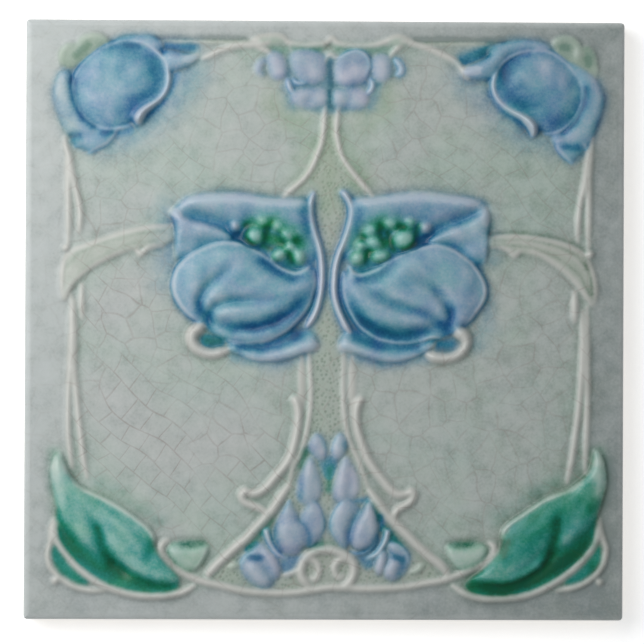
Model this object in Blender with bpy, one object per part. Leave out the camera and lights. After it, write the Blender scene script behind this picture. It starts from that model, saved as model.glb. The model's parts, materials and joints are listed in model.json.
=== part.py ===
# Relief tile, one pressed and fired piece.
# Frame: metres, back of the tile on Z = 0, face up, +Y towards the top of the pattern,
# origin at the middle of the back. Driving dimensions below are in millimetres.
import math

import bmesh
import bpy
from mathutils import Matrix, Vector

MM = 0.001

# The blank
SIDE = 152.4            # six inches
BODY = 9.5              # back to the flat of the border
CORNER_R = 1.0          # plan radius of the four corners
CUSHION_W = 1.7         # width of the rounded strip round the face
CUSHION_D = 0.9         # how far that strip falls at the edge
FOOT = 0.4              # chamfer round the back edge

# Keying in the back, so that mortar grips it
KEY_COUNT = 6
KEY_PITCH = 18.0
KEY_W = 9.0
KEY_L = 124.0
KEY_D = 1.2
KEY_DRAFT = 0.8         # how much each wall of a groove leans

# The relief is pressed a little to the right of the blank's middle line
AXIS_X = 1.1
ROOT = 0.7              # how far every raised form is buried in the body

# Heights over the border
H_RAIL = 1.0            # frame lines
H_STEM = 1.4            # thin stems
H_HOOK = 1.8            # broad hooked stems
H_BAND = 1.2            # grooved side stems
H_CUP = 2.6             # front petal of the big flowers
H_HOOD = 1.0            # floor behind it
H_DISC = 2.0            # round corner flowers
H_LEAF = 2.3
H_BELL = 1.9
H_BERRY = 1.9


def spline(points, steps, closed):
    """A smooth line through the points, with so many steps from one to the next."""
    n = len(points)
    out = []
    for i in range(n if closed else n - 1):
        if closed:
            p = [Vector(points[(i + k) % n]) for k in (-1, 0, 1, 2)]
        else:
            p = [Vector(points[min(max(i + k, 0), n - 1)]) for k in (-1, 0, 1, 2)]
        for s in range(steps):
            t = s / steps
            out.append(0.5 * (2 * p[1] + (p[2] - p[0]) * t
                              + (2 * p[0] - 5 * p[1] + 4 * p[2] - p[3]) * t * t
                              + (3 * p[1] - p[0] - 3 * p[2] + p[3]) * t * t * t))
    if not closed:
        out.append(Vector(points[-1]))
    return out


def skin(bm, rings):
    """Join rings of the same number of points into one closed solid."""
    loops = [[bm.verts.new(p * MM) for p in ring] for ring in rings]
    n = len(loops[0])
    for a, b in zip(loops, loops[1:]):
        for i in range(n):
            bm.faces.new((a[i], a[(i + 1) % n], b[(i + 1) % n], b[i]))
    bm.faces.new(list(reversed(loops[0])))
    bm.faces.new(loops[-1])


def swept(bm, points, width, section, steps, tips):
    """A section of (across, up, fades) points carried along a line on the face."""
    path = spline([(x + AXIS_X, y) for x, y in points], steps, False)
    rings = []
    for i, p in enumerate(path):
        along = (path[min(i + 1, len(path) - 1)] - path[max(i - 1, 0)]).normalized()
        side = Vector((-along.y, along.x))
        k = tips[0] if i == 0 else tips[1] if i == len(path) - 1 else 1.0
        rings.append([Vector((p.x + side.x * a * width * k, p.y + side.y * a * width * k,
                              BODY + z * (k ** 0.5 if z > 0 else 1.0))) for a, z in section])
    skin(bm, rings)


def rod(bm, points, width, height, steps=2, tips=(0.45, 0.45)):
    section = [(-0.5, -ROOT), (-0.4, 0.55 * height), (0.0, height), (0.4, 0.55 * height),
               (0.5, -ROOT)]
    swept(bm, points, width, section, steps, tips)


def channel(bm, points, width, floor, top, steps=2, tips=(0.4, 0.4)):
    """Stock for a groove: its floor stands at `floor` over the border."""
    path = spline([(x + AXIS_X, y) for x, y in points], steps, False)
    rings = []
    for i, p in enumerate(path):
        along = (path[min(i + 1, len(path) - 1)] - path[max(i - 1, 0)]).normalized()
        side = Vector((-along.y, along.x))
        end = i in (0, len(path) - 1)
        k = tips[0] if end else 1.0
        low = floor + (0.5 * (top - floor) if end else 0.0)
        rings.append([Vector((p.x + side.x * a * width * k, p.y + side.y * a * width * k, BODY + z))
                      for a, z in ((-0.62, top + 0.6), (0.0, low), (0.62, top + 0.6))])
    skin(bm, rings)


def on_line(p, line):
    """The place of a bent line that lies nearest to p."""
    best = None
    if len(line) == 1:
        return Vector(line[0])
    for a, b in zip(line, line[1:]):
        a, b = Vector(a), Vector(b)
        d = b - a
        t = min(max((p - a).dot(d) / d.dot(d), 0.0), 1.0)
        q = a + d * t
        if best is None or (q - p).length < (best - p).length:
            best = q
    return best


def mound(bm, outline, crest, height, steps=1, profile=((0.1, 0.45), (0.38, 0.86), (0.72, 1.0))):
    """A cushion of clay: its outline is drawn in towards the crest line as it rises."""
    edge = spline([(x + AXIS_X, y) for x, y in outline], steps, True)
    area = sum(a.x * b.y - b.x * a.y for a, b in zip(edge, edge[1:] + edge[:1]))
    if area < 0:
        edge.reverse()
    crest = [(x + AXIS_X, y) for x, y in crest]
    rings = [[Vector((p.x, p.y, BODY - ROOT)) for p in edge]]
    for pull, up in profile:
        ring = []
        for p in edge:
            q = p.lerp(on_line(p, crest), pull)
            ring.append(Vector((q.x, q.y, BODY + up * height)))
        rings.append(ring)
    skin(bm, rings)


def berry(bm, x, y, half_x, half_y, top, turn=0.0):
    """A round seed: the upper cap of a ball, its middle sunk below half."""
    rise = 0.62 * min(half_x, half_y) + 0.5
    m = (Matrix.Translation(Vector((x + AXIS_X, y, BODY + top - rise)) * MM)
         @ Matrix.Rotation(math.radians(turn), 4, "Z")
         @ Matrix.Diagonal((half_x * MM, half_y * MM, rise * MM, 1.0)))
    made = bmesh.ops.create_icosphere(bm, subdivisions=1, radius=1.0, matrix=m)["verts"]
    foot = BODY * MM - ROOT * MM
    for v in made:
        if v.co.z < m.translation.z:
            v.co.z = min(foot, v.co.z)


def flipped(points):
    return [(-x, y) for x, y in points]


def solid(name, fill):
    """One working object holding what fill() adds to a bmesh."""
    bm = bmesh.new()
    fill(bm)
    bmesh.ops.triangulate(bm, faces=[f for f in bm.faces if len(f.verts) > 4])
    bmesh.ops.recalc_face_normals(bm, faces=bm.faces)
    mesh = bpy.data.meshes.new(name)
    bm.to_mesh(mesh)
    bm.free()
    obj = bpy.data.objects.new(name, mesh)
    bpy.context.scene.collection.objects.link(obj)
    return obj


def cut_or_join(target, tool, operation):
    mod = target.modifiers.new(tool.name, "BOOLEAN")
    mod.object = tool
    mod.operation = operation
    mod.solver = "EXACT"
    mod.use_self = True
    tool.hide_render = True
    tool.display_type = "WIRE"


# The blank: a square slab with round corners, cushion strip and chamfered foot

def rounded_square(inset, z, arc_steps=4):
    half = SIDE / 2 - inset
    r = max(CORNER_R - inset, 0.15)
    ring = []
    for quarter, (sx, sy) in enumerate(((1, 1), (-1, 1), (-1, -1), (1, -1))):
        for k in range(arc_steps + 1):
            a = math.radians(90 * (quarter + k / arc_steps))
            ring.append(Vector((sx * (half - r) + r * math.cos(a), sy * (half - r) + r * math.sin(a), z)))
    return ring


def blank(bm):
    rings = [rounded_square(FOOT, 0.0), rounded_square(0.0, FOOT),
             rounded_square(0.0, BODY - CUSHION_D)]
    for k in (1, 2, 3):
        a = math.radians(30 * k)
        rings.append(rounded_square(CUSHION_W * (1 - math.cos(a)),
                                    BODY - CUSHION_D * (1 - math.sin(a))))
    skin(bm, rings)


def keys(bm):
    for i in range(KEY_COUNT):
        y = (i - (KEY_COUNT - 1) / 2) * KEY_PITCH
        rings = []
        for z, grow in ((-1.0, KEY_DRAFT * (1 + 1.0 / KEY_D)), (KEY_D, 0.0)):
            hx, hy = KEY_L / 2 + grow, KEY_W / 2 + grow
            rings.append([Vector((-hx, y - hy, z)), Vector((hx, y - hy, z)),
                          Vector((hx, y + hy, z)), Vector((-hx, y + hy, z))])
        skin(bm, rings)


# Frame lines, stems and hooks

def lines(bm):
    # top rail with a hump on either side of the bells
    rod(bm, [(-44, 70.9), (-34, 70.5), (-24, 70.5), (-19.6, 71.1), (-15.6, 72.0), (-12.4, 71.6),
             (-10.4, 70.3), (-5, 70.1), (0, 70.5), (5, 70.1), (11, 70.2), (14.2, 71.1),
             (17.4, 71.9), (21, 70.7), (30, 70.3), (44, 70.3)], 1.1, H_RAIL, steps=1)
    # arches from the humps down to the corner flowers
    rod(bm, [(-12.4, 71.3), (-18.9, 70), (-23.4, 69.7), (-28.3, 68.3), (-33, 66.2)], 1.3, H_STEM)
    rod(bm, [(14.6, 70.9), (19.6, 71), (24, 69.5), (29.2, 67.4), (32.4, 65.6), (35.2, 61.8)],
        1.3, H_STEM)
    rod(bm, [(-20.4, 69.8), (-17.2, 68.8), (-15, 67.2)], 1.1, H_STEM, steps=1)
    rod(bm, [(19, 70.2), (16.4, 68.8), (15, 66.8)], 1.1, H_STEM, steps=1)
    # stems from the top bells to the big flowers
    rod(bm, [(-1.2, 54.4), (-1.6, 48), (-2.4, 44.2), (-4.6, 38.8), (-8.1, 34.5), (-12, 31)],
        1.2, H_STEM)
    rod(bm, [(2.2, 54.4), (1.7, 48), (2.3, 44.2), (4.6, 39.4), (7.9, 35.2), (11.4, 31.2)],
        1.2, H_STEM)
    # side stems between the corner flowers and the leaves
    rod(bm, [(-67.4, 46.4), (-66.2, 41), (-64.7, 34.2), (-63.5, 27.6), (-63.6, 21.4)], 1.3, H_STEM)
    rod(bm, [(-66.6, 38.4), (-66.3, 29), (-66.3, 17.4)], 1.4, H_RAIL, steps=1)
    rod(bm, [(66.2, 46), (66, 34), (66, 26), (65.8, 16)], 1.5, H_STEM, steps=1)
    rod(bm, [(65.2, 40), (63.9, 30), (63.4, 20)], 1.3, H_STEM, steps=1)
    for side in (-1, 1):
        rod(bm, [(side * 62.7, 9), (side * 62.9, 5), (side * 62.6, 0)], 1.2, H_RAIL, steps=1)
    rod(bm, [(-65.4, 6), (-65.9, -10), (-66.2, -23), (-66, -30), (-65.1, -39)], 1.2, H_STEM, steps=1)
    rod(bm, [(-64.8, 4), (-64.7, -12), (-63.7, -24), (-62.2, -35.5), (-61, -42)], 1.3, H_STEM,
        steps=1)
    rod(bm, [(65.6, 4), (65.7, -12), (65.7, -24), (65.3, -40)], 1.3, H_STEM, steps=1)
    rod(bm, [(64.4, 2), (64.2, -16), (62.8, -29), (61.9, -35.6), (60.6, -42)], 1.3, H_STEM, steps=1)
    # grooved bands that carry the big flowers from the frame
    for y_in, y_out, w in ((18.9, 6.4, 2.0), (21.0, 9.0, 2.0), (23.2, 12.6, 1.8)):
        lift = (y_in - 21) * 0.3
        rod(bm, [(-67, y_out), (-64.8, 12.4 + lift), (-60, 16.4 + lift), (-53.6, y_in - 0.6),
                 (-47, y_in + 0.1), (-40.4, y_in)], w + 0.6, H_BAND, steps=1)
        rod(bm, [(66.9, y_out - 1), (64.8, 11.4 + lift), (60, 15.6 + lift), (53.6, y_in - 1.6),
                 (47, y_in - 1), (39.6, y_in - 1.4)], w + 0.6, H_BAND, steps=1)
    rod(bm, [(-50.4, 18.6), (-48.4, 17.6), (-47.6, 16.4)], 1.2, H_BAND, steps=1)
    rod(bm, [(50.4, 18.8), (48, 18.2), (46.8, 16.6)], 1.2, H_BAND, steps=1)
    for x in (-66.9, 66.2):
        mound(bm, [(x + 1.1, 17.8), (x, 19), (x - 1.1, 17.8), (x, 16.6)], [(x, 17.8)], 1.6)
    # pedestal: thin inner stems and the broad hooked ones
    rod(bm, [(-5.1, -8), (-4.6, -20.7), (-6.2, -31.2), (-9, -37.3), (-10.2, -43)], 1.0, H_RAIL,
        steps=1)
    rod(bm, [(3.9, -8), (3.8, -20.7), (4.8, -28.2), (7.7, -35.9), (10.4, -43)], 1.0, H_RAIL, steps=1)
    rod(bm, [(-8.9, -19.2), (-7.7, -22), (-7.9, -27), (-9, -32.6), (-11.5, -37.6), (-15.2, -42.2),
             (-18, -44.4), (-21.2, -43.4)], 2.0, H_HOOK)
    rod(bm, [(-21.2, -43.4), (-22.2, -45.3), (-20, -47.4), (-17.4, -48.6)], 1.5, H_HOOK)
    rod(bm, [(8.7, -19.2), (7.1, -22), (7.2, -27), (8.8, -32.6), (11.9, -38.2), (15.6, -42.8),
             (18.2, -44.6), (21, -43.2)], 2.0, H_HOOK)
    rod(bm, [(21, -43.2), (21.9, -45.2), (20, -47.4), (17.2, -49)], 1.5, H_HOOK)
    rod(bm, [(-9.6, -41), (-13.1, -46.8), (-18.4, -53), (-26.5, -60.6), (-31, -65.6)], 2.0, H_HOOK)
    rod(bm, [(10, -42.4), (14.7, -49.2), (20.2, -54.7), (27.2, -61), (31, -65.4)], 2.0, H_HOOK)
    # bottom line and the ring of the middle scroll
    rod(bm, [(-40.6, -56), (-42.4, -58.2), (-41.4, -61), (-37.4, -64.2), (-30, -67), (-20, -69.1),
             (-10.4, -69.4), (-3, -68.6), (2, -67.8), (8, -68.3), (20, -67.8), (29.4, -66.2),
             (38, -62.6), (41.6, -60), (42.3, -58), (40.8, -56.2)], 1.5, H_STEM, steps=1)
    rod(bm, [(-5, -67.6), (-6.8, -65), (-6.4, -61.8), (-3, -58.7), (0.2, -58.2), (4.4, -59.6),
             (6.5, -62.6), (6, -66), (2.4, -68.6)], 1.6, H_STEM, steps=1)
    rod(bm, [(-6, -61.6), (-4, -61.6), (-2.4, -64), (-3.6, -66.2)], 1.2, H_RAIL, steps=1)
    rod(bm, [(6, -62), (3.6, -61.4), (2, -64.4), (4.4, -65.6)], 1.2, H_RAIL, steps=1)


# Round corner flowers, not quite alike on the two sides

def corner_flowers(bm):
    mound(bm, [(-66, 60), (-64.9, 62.6), (-63, 65.8), (-60.2, 67.9), (-57.2, 69.7), (-51.3, 71),
               (-46.5, 69.8), (-43, 67.2), (-41, 63.5), (-40.7, 60), (-42.7, 56.3), (-46.9, 53.6),
               (-50, 50.5), (-54.9, 48.2), (-60.8, 49.1), (-64.5, 53.5)], [(-56, 59), (-52, 60)],
          H_DISC)
    rod(bm, [(-54, 70.4), (-49, 70.5), (-44.7, 68.6), (-41.7, 65), (-41, 61), (-42.9, 56.7),
             (-46.9, 53.4), (-48.7, 50.8), (-48.2, 48.6)], 1.5, 2.3, steps=1, tips=(0.4, 0.8))
    mound(bm, [(-66.9, 64.6), (-69.6, 61.5), (-70.5, 57), (-69.6, 52.5), (-68, 48), (-66.5, 45.5),
               (-63, 46.5), (-60, 47.5), (-62.5, 49.4), (-65.3, 53), (-66.7, 58)],
          [(-68, 60), (-68, 55), (-66.2, 50), (-64.4, 48)], 1.7)
    mound(bm, [(-67.5, 46.5), (-64, 43.3), (-61.3, 42), (-59.2, 43.3), (-56, 45.2), (-54.6, 47.6),
               (-58, 48.2), (-62, 48.4)], [(-64.5, 45.8), (-58, 46.4)], 1.2)
    mound(bm, [(-54, 70.6), (-50.2, 72.2), (-46, 72.3), (-43, 70.6), (-40, 68.6), (-34, 67.8),
               (-33, 67), (-35, 64.4), (-38.3, 63), (-41.4, 63.4), (-44, 67.4)],
          [(-49, 71.2), (-44.5, 70.2), (-41, 66.6), (-36, 66)], 1.2)
    mound(bm, [(-64.5, 70.2), (-62.5, 72.1), (-59, 72.3), (-56.8, 71), (-59, 68.4), (-64, 64.6),
               (-68.4, 64.6), (-68.9, 67.8), (-67, 70)], [(-60, 70.4), (-66, 67.4)], 1.2)

    mound(bm, [(41.4, 61), (42.4, 63), (44.3, 65.5), (47.1, 67.6), (52.7, 68.8), (57, 67.8),
               (61, 65.2), (63.2, 62), (63.9, 58), (62.9, 53.6), (60.6, 49.8), (57.4, 48),
               (54, 47.8), (50.4, 50.6), (46.6, 52.8), (42.9, 56)], [(51, 59), (54, 58)], H_DISC)
    rod(bm, [(43.2, 64), (41.7, 61.4), (41.8, 58.2), (43.2, 55.4), (46.6, 53.1), (50.4, 51.2),
             (52.1, 48.9), (51.7, 46.2)], 1.5, 2.3, steps=1, tips=(0.4, 0.8))
    mound(bm, [(63.5, 65), (66.4, 63.2), (69, 59.6), (70, 56), (69.2, 52), (67.6, 48.5),
               (66.8, 45), (64.6, 43.5), (61.2, 46.6), (62.6, 50), (64.6, 54), (64.8, 59)],
          [(66.5, 61), (67.5, 56), (66, 50), (65, 46)], 1.7)
    mound(bm, [(56.1, 46.6), (56.6, 45), (58.6, 43.2), (60.6, 41.2), (62.1, 39.4), (64.5, 42),
               (64, 45.5), (60, 48.2)], [(58.6, 46), (62, 42.6)], 1.2)
    mound(bm, [(43.5, 70), (47.1, 71.5), (51, 71.9), (56.4, 70.6), (59, 72.3), (62, 72.2),
               (64.2, 69.8), (66.6, 69.5), (68, 66.5), (68, 62.5), (64, 63), (58, 67),
               (50, 68.4), (45, 67)], [(48, 70.2), (54, 69.6), (60, 70), (66, 66.4)], 1.2)
    mound(bm, [(34.4, 62.2), (37.7, 61.2), (41.3, 60.6), (43, 63.5), (45.4, 67.2), (43.6, 70),
               (39.5, 69.8), (35.5, 67.5)], [(38, 64), (42.2, 67)], 1.0)


# The two big flowers that turn their backs on the pedestal

def big_flowers(bm):
    mound(bm, [(-40.6, 27), (-38.4, 29.3), (-36.3, 31), (-32, 32.1), (-25.6, 32.5), (-19.2, 32),
               (-13, 31), (-4.8, 31), (-4.8, 26), (-3.4, 20), (-4, 12), (-12, 9), (-25, 14),
               (-37, 12), (-39.4, 16.8), (-38.9, 20), (-39, 24)],
          [(-33, 24), (-22, 22), (-9, 22)], H_HOOD, profile=((0.08, 0.7), (0.3, 1.0)))
    rod(bm, [(-40, 26.9), (-37.4, 30), (-32, 31.4), (-25.6, 31.7), (-18, 31.3), (-11, 30.3),
             (-5.6, 30.2)], 1.9, 2.0, steps=1)
    rod(bm, [(-38.4, 28), (-36.4, 25.4), (-31, 23.9), (-26.4, 22), (-22.4, 19.8)], 2.2, 1.9, steps=1)
    rod(bm, [(-39.4, 26), (-38, 21), (-38.6, 16.4)], 1.8, 1.6, steps=1)
    mound(bm, [(-38.1, 14.2), (-34.2, 17.3), (-28.4, 19.5), (-22.6, 19.5), (-15.6, 15.9),
               (-10.9, 12.7), (-6.7, 12.6), (-3.9, 12.8), (-3.5, 9.6), (-5, 3.8), (-8.4, -0.7),
               (-13.1, -4.3), (-18.7, -5.9), (-25, -6), (-31, -3.5), (-34.8, 0.4),
               (-38.4, 4.3), (-40, 9)], [(-30, 9), (-22, 10), (-12, 4)], H_CUP)
    rod(bm, [(-3.4, -5.6), (-7, -7), (-13.1, -8.9), (-18.7, -8.9), (-24, -6.8)], 2.4, 1.6, steps=1)
    rod(bm, [(-32.8, -1.2), (-35, -2.8), (-35.2, -5.6), (-33.2, -8), (-29.6, -8.6), (-25.4, -7.6)],
        1.4, 1.8)
    rod(bm, [(-4.2, 32.6), (-4.8, 28.1), (-3.7, 22), (-2, 15.6), (-2, 8.2), (-3.4, 2.1),
             (-5.8, -2)], 1.2, 1.8, steps=1)

    mound(bm, [(40.6, 27), (38.6, 30.2), (34, 31.6), (26, 32.8), (19, 32.8), (13, 31.4),
               (5, 31.2), (5, 26), (3.2, 20), (3.8, 12), (12, 9), (25, 14), (36.6, 12),
               (39.8, 17), (39.9, 22)], [(33, 24), (22, 22), (9, 22)], H_HOOD,
          profile=((0.08, 0.7), (0.3, 1.0)))
    rod(bm, [(39.8, 28.2), (37.4, 30.2), (31.9, 31), (26, 32), (19, 32), (12, 30.6),
             (5.6, 30.4)], 1.9, 2.0, steps=1)
    rod(bm, [(38.8, 27.6), (36.4, 25.4), (31, 23.4), (26, 20.6)], 2.2, 1.9, steps=1)
    rod(bm, [(40, 26), (39, 21), (39.2, 16.4)], 1.8, 1.6, steps=1)
    mound(bm, [(4.7, 13.9), (5.6, 12.2), (8, 11.7), (12.5, 13.4), (18, 16.7), (23.6, 18.9),
               (29.4, 19.2), (34.4, 16.7), (38.3, 12.3), (40, 8), (38.9, 4), (35.6, -0.6),
               (31, -4.4), (24, -6), (17, -5.9), (11, -4.6), (6.4, -1), (3.9, 4), (3.2, 9.6)],
          [(12, 4), (22, 10), (30, 9)], H_CUP)
    rod(bm, [(3, -6), (6.7, -6.8), (12.5, -8.7), (18, -8.9), (25.6, -5.8)], 2.4, 1.6, steps=1)
    rod(bm, [(33.4, -1.8), (35, -4.6), (34.2, -7.6), (31.4, -9.4), (26.6, -9.2)], 1.4, 1.8)
    rod(bm, [(2.8, 32.8), (5.3, 28.6), (4.7, 23.1), (2.5, 17), (1.2, 9), (3, 1), (5.6, -3.4)],
        1.2, 1.8, steps=1)

    for x, y, rx, ry, turn in ((-19, 21.3, 2.0, 2.0, 0), (-16.4, 24.8, 1.9, 1.2, 20),
                               (-12.8, 20.3, 1.8, 1.7, 0), (-10.3, 22.6, 1.9, 1.3, -30),
                               (-12.8, 16.4, 1.8, 1.4, 20), (-7.4, 16.6, 1.3, 1.9, 10),
                               (18.7, 20.5, 2.6, 2.2, 0), (15.5, 24.6, 2.1, 1.2, 0),
                               (10.5, 22.8, 2.5, 1.3, 30), (11.4, 19.4, 2.0, 1.8, 0),
                               (12.5, 16.2, 2.2, 1.4, 15), (7.1, 15.9, 1.8, 1.8, 0)):
        berry(bm, x, y, rx, ry, H_BERRY, turn)


# Leaves in the two lower corners

def leaves(bm):
    mound(bm, [(-68.6, -32.5), (-70.5, -36.5), (-70.6, -40), (-69.8, -44.4), (-68.9, -48.8),
               (-67.5, -53), (-63.6, -58.6), (-58.6, -62.8), (-50.2, -66), (-43, -68),
               (-36.8, -66.4), (-40.5, -62.2), (-43.6, -57.8), (-44.2, -54.6), (-47.4, -51.4),
               (-53, -47.5), (-59.1, -44.4), (-64.1, -41.7), (-66.8, -38)],
          [(-68.4, -38), (-64.6, -47), (-57, -54), (-49, -58.4), (-42, -65)], H_LEAF)
    rod(bm, [(-69.4, -52.2), (-69, -56.2), (-65.8, -60.6), (-61.1, -65), (-55.8, -68.1),
             (-48.8, -70), (-41, -70), (-34.8, -67.6)], 1.4, 1.6, steps=1)
    rod(bm, [(-70, -51.4), (-70.8, -56), (-70.9, -61), (-67.6, -65.8), (-62.4, -68.4), (-56.6, -69.2)],
        1.2, H_STEM, steps=1)
    mound(bm, [(-39.8, -56.4), (-35, -55.9), (-30.6, -56.6), (-30.8, -59.4), (-32.5, -62),
               (-34.6, -63.7), (-38, -62.6), (-40, -59.5)], [(-36.6, -59), (-34, -60)], 1.4)

    mound(bm, [(68, -31.4), (70, -35), (71, -40.3), (70, -46.4), (68.9, -49.6), (66.9, -53.8),
               (64, -58.2), (58, -63), (50.2, -66.4), (42, -68), (36, -67.4), (39.4, -62.6),
               (43.6, -57.6), (44.2, -53.6), (49.1, -49.2), (55.2, -45.3), (61.3, -42.8),
               (66.2, -39)],
          [(69, -37), (66, -46), (58, -54), (50, -59), (42, -65.6)], H_LEAF)
    rod(bm, [(69, -51.6), (68.4, -55.4), (63.8, -61.9), (57.4, -66.7), (49.7, -70), (42, -70.7),
             (35, -69.4), (31, -67.4)], 1.4, 1.6, steps=1)
    rod(bm, [(69.6, -51), (70.6, -56.4), (70.2, -61.6), (66.4, -66), (58.2, -68.8)], 1.2, H_STEM,
        steps=1)
    mound(bm, [(39.6, -56.4), (35, -56), (30, -56.8), (31, -60.6), (33.2, -63.4), (37.6, -62.6),
               (40, -59.6)], [(34.6, -59.6), (37, -59)], 1.4)
    for x in (-69.3, 69.2):
        mound(bm, [(x + 1, -66.4), (x, -65.4), (x - 1, -66.4), (x, -67.4)], [(x, -66.4)], 1.3)


# Bells: a bunch under the top rail and a fall of them in the skirt of the pedestal

def bells(bm):
    mound(bm, [(-8.4, 63.6), (-6.8, 66.8), (-3.9, 67.9), (-1.3, 65.6), (-1.1, 62.2), (-3.9, 60),
               (-6.9, 61)], [(-5.4, 64), (-4, 64.4)], H_BELL)
    mound(bm, [(-8.4, 56.4), (-7, 58.4), (-3.9, 58.2), (-1.2, 58.8), (-0.8, 56.2), (-1.6, 54.2),
               (-5, 54.2)], [(-6, 56.4), (-3, 56.4)], 1.6)
    rod(bm, [(-10.7, 60.6), (-9.8, 58.4), (-8, 57.6)], 1.2, H_STEM, steps=1)
    mound(bm, [(-14.8, 66.6), (-12.2, 67.2), (-10.6, 64.7), (-11, 61.8), (-13.5, 61.4),
               (-15.2, 63.4)], [(-13, 65.2), (-12.8, 63.2)], 1.7)
    rod(bm, [(-16.6, 66.6), (-17.8, 64.4), (-16.8, 61.8)], 1.5, H_STEM, steps=1)
    mound(bm, [(1.7, 62), (2.1, 66), (4.2, 67.9), (6.9, 68.4), (9.2, 67), (9.8, 64.6), (7.9, 61),
               (4.6, 59.6)], [(5.2, 64), (6.4, 64.4)], H_BELL)
    mound(bm, [(1.3, 58.6), (5, 58.4), (8.4, 58.1), (9, 56.3), (8.3, 54.2), (1.6, 54.4)],
          [(3.4, 56.4), (6.6, 56.4)], 1.6)
    rod(bm, [(10.6, 61.4), (10.6, 59.2), (9, 57.8)], 1.2, H_STEM, steps=1)
    mound(bm, [(11, 62.4), (11.2, 66), (13, 67.5), (15, 66), (15, 62.6), (13, 61.2)],
          [(13, 65.2), (13, 63.2)], 1.7)
    rod(bm, [(16.4, 66.4), (18.2, 64.8), (17.8, 62.4)], 1.5, H_STEM, steps=1)

    for side in (-1, 1):
        def place(points):
            return flipped(points) if side > 0 else points
        mound(bm, place([(-2.9, -28.8), (-4.6, -30.7), (-5.8, -32.4), (-4, -34.6), (-2, -34.6),
                         (-1.1, -31.8)]), place([(-3.4, -32), (-3.2, -33)]), 1.6)
        mound(bm, place([(-4.3, -35), (-6.6, -37), (-7.3, -41.6), (-6.2, -46), (-3.4, -46),
                         (-1.8, -41.8), (-2.4, -37)]), place([(-4.6, -38.6), (-4.6, -43.6)]), 1.6)
        mound(bm, place([(-9.8, -45.4), (-12.9, -50.3), (-14.4, -54), (-13.4, -57.8),
                         (-9.6, -59.5), (-5.4, -58.2), (-2.3, -56.1), (-0.9, -53.2), (-1, -50),
                         (-4.6, -45.4), (-7, -47)]), place([(-9, -54), (-6, -52)]), 2.0)
        rod(bm, place([(-16, -52.8), (-14.8, -56.7), (-12, -60.6)]), 1.2, H_STEM, steps=1)
        mound(bm, place([(-16.8, -56.2), (-21.6, -59.6), (-22, -62.4), (-19, -66.8), (-15, -68),
                         (-12.6, -65.6), (-11.6, -61.6), (-14, -59.2)]),
              place([(-18, -62), (-15, -64)]), 1.8)


# Hollows pressed into the raised forms

def hollows(bm):
    top = 2.8
    channel(bm, [(-21, 13.4), (-26.2, 10.9), (-31, 7.2), (-32.8, 2.4)], 3.0, 0.9, top)
    channel(bm, [(-12, 5.4), (-18, 3.9), (-25.6, 4.7), (-29.6, 2.6), (-30.4, -1)], 2.8, 0.9, top)
    channel(bm, [(-7, 3.2), (-11.7, 0), (-17.6, -2.6), (-23, -1.6), (-28.4, -1.6)], 3.4, 0.6, top)
    channel(bm, [(24, 11.4), (28, 7.4), (30.6, 4.4), (31.4, 0)], 3.0, 0.9, top)
    channel(bm, [(9, 6.6), (15, 3.5), (20.4, 2.2), (25.4, 1.4), (29.6, -1.8)], 2.8, 0.9, top)
    channel(bm, [(7, 2.6), (11.6, -1.4), (18, -3.6), (25, -1.8)], 3.4, 0.6, top)
    # valley between the two lobes of each leaf, and its vein
    channel(bm, [(-67.6, -46), (-66, -53.6), (-61.3, -60), (-55, -63.6), (-47.4, -66.3), (-40, -67)],
            3.2, 0.5, top)
    channel(bm, [(-60, -51.4), (-57.4, -57.2), (-53, -62.6)], 2.6, 1.2, top, steps=1)
    channel(bm, [(67.6, -46), (66.6, -53.6), (61.3, -60), (54.4, -64), (46, -66.9), (39, -67.6)],
            3.2, 0.5, top)
    channel(bm, [(60, -51), (57.2, -57.2), (53.6, -62.6)], 2.6, 1.2, top, steps=1)


for old in list(bpy.data.objects):
    bpy.data.objects.remove(old, do_unlink=True)

tile = solid("tile", blank)


def raised(bm):
    lines(bm)
    corner_flowers(bm)
    big_flowers(bm)
    leaves(bm)
    bells(bm)


relief = solid("raised forms", raised)
pressed = solid("pressed hollows", hollows)
keying = solid("keying", keys)
cut_or_join(relief, pressed, "DIFFERENCE")
cut_or_join(tile, relief, "UNION")
cut_or_join(tile, keying, "DIFFERENCE")

glaze = bpy.data.materials.new("glaze")
glaze.use_nodes = True
shader = glaze.node_tree.nodes["Principled BSDF"]
shader.inputs["Base Color"].default_value = (0.42, 0.49, 0.46, 1.0)
shader.inputs["Roughness"].default_value = 0.22
tile.data.materials.append(glaze)
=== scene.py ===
# %% [markdown]
# # A glazed relief tile
#
# A pressed tile is one piece of clay. Soft clay goes under a mould, the mould leaves flowers and stems
# standing a millimetre or two over the face, and coloured glazes are brushed on. In the kiln the glaze
# melts, slides off the high edges and gathers in the hollows, which is what makes the picture.
#
# This lesson follows the workshop. First the forms of the mould are modelled one by one. Then a fine
# sheet is pressed over them and softened as glaze softens it, and the washes of colour are laid on by
# how thick the melted glaze would lie.

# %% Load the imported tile
import json
import math
from functools import partial

import bmesh
import bpy
import numpy as np
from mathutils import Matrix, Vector
from mathutils.bvhtree import BVHTree

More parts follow.
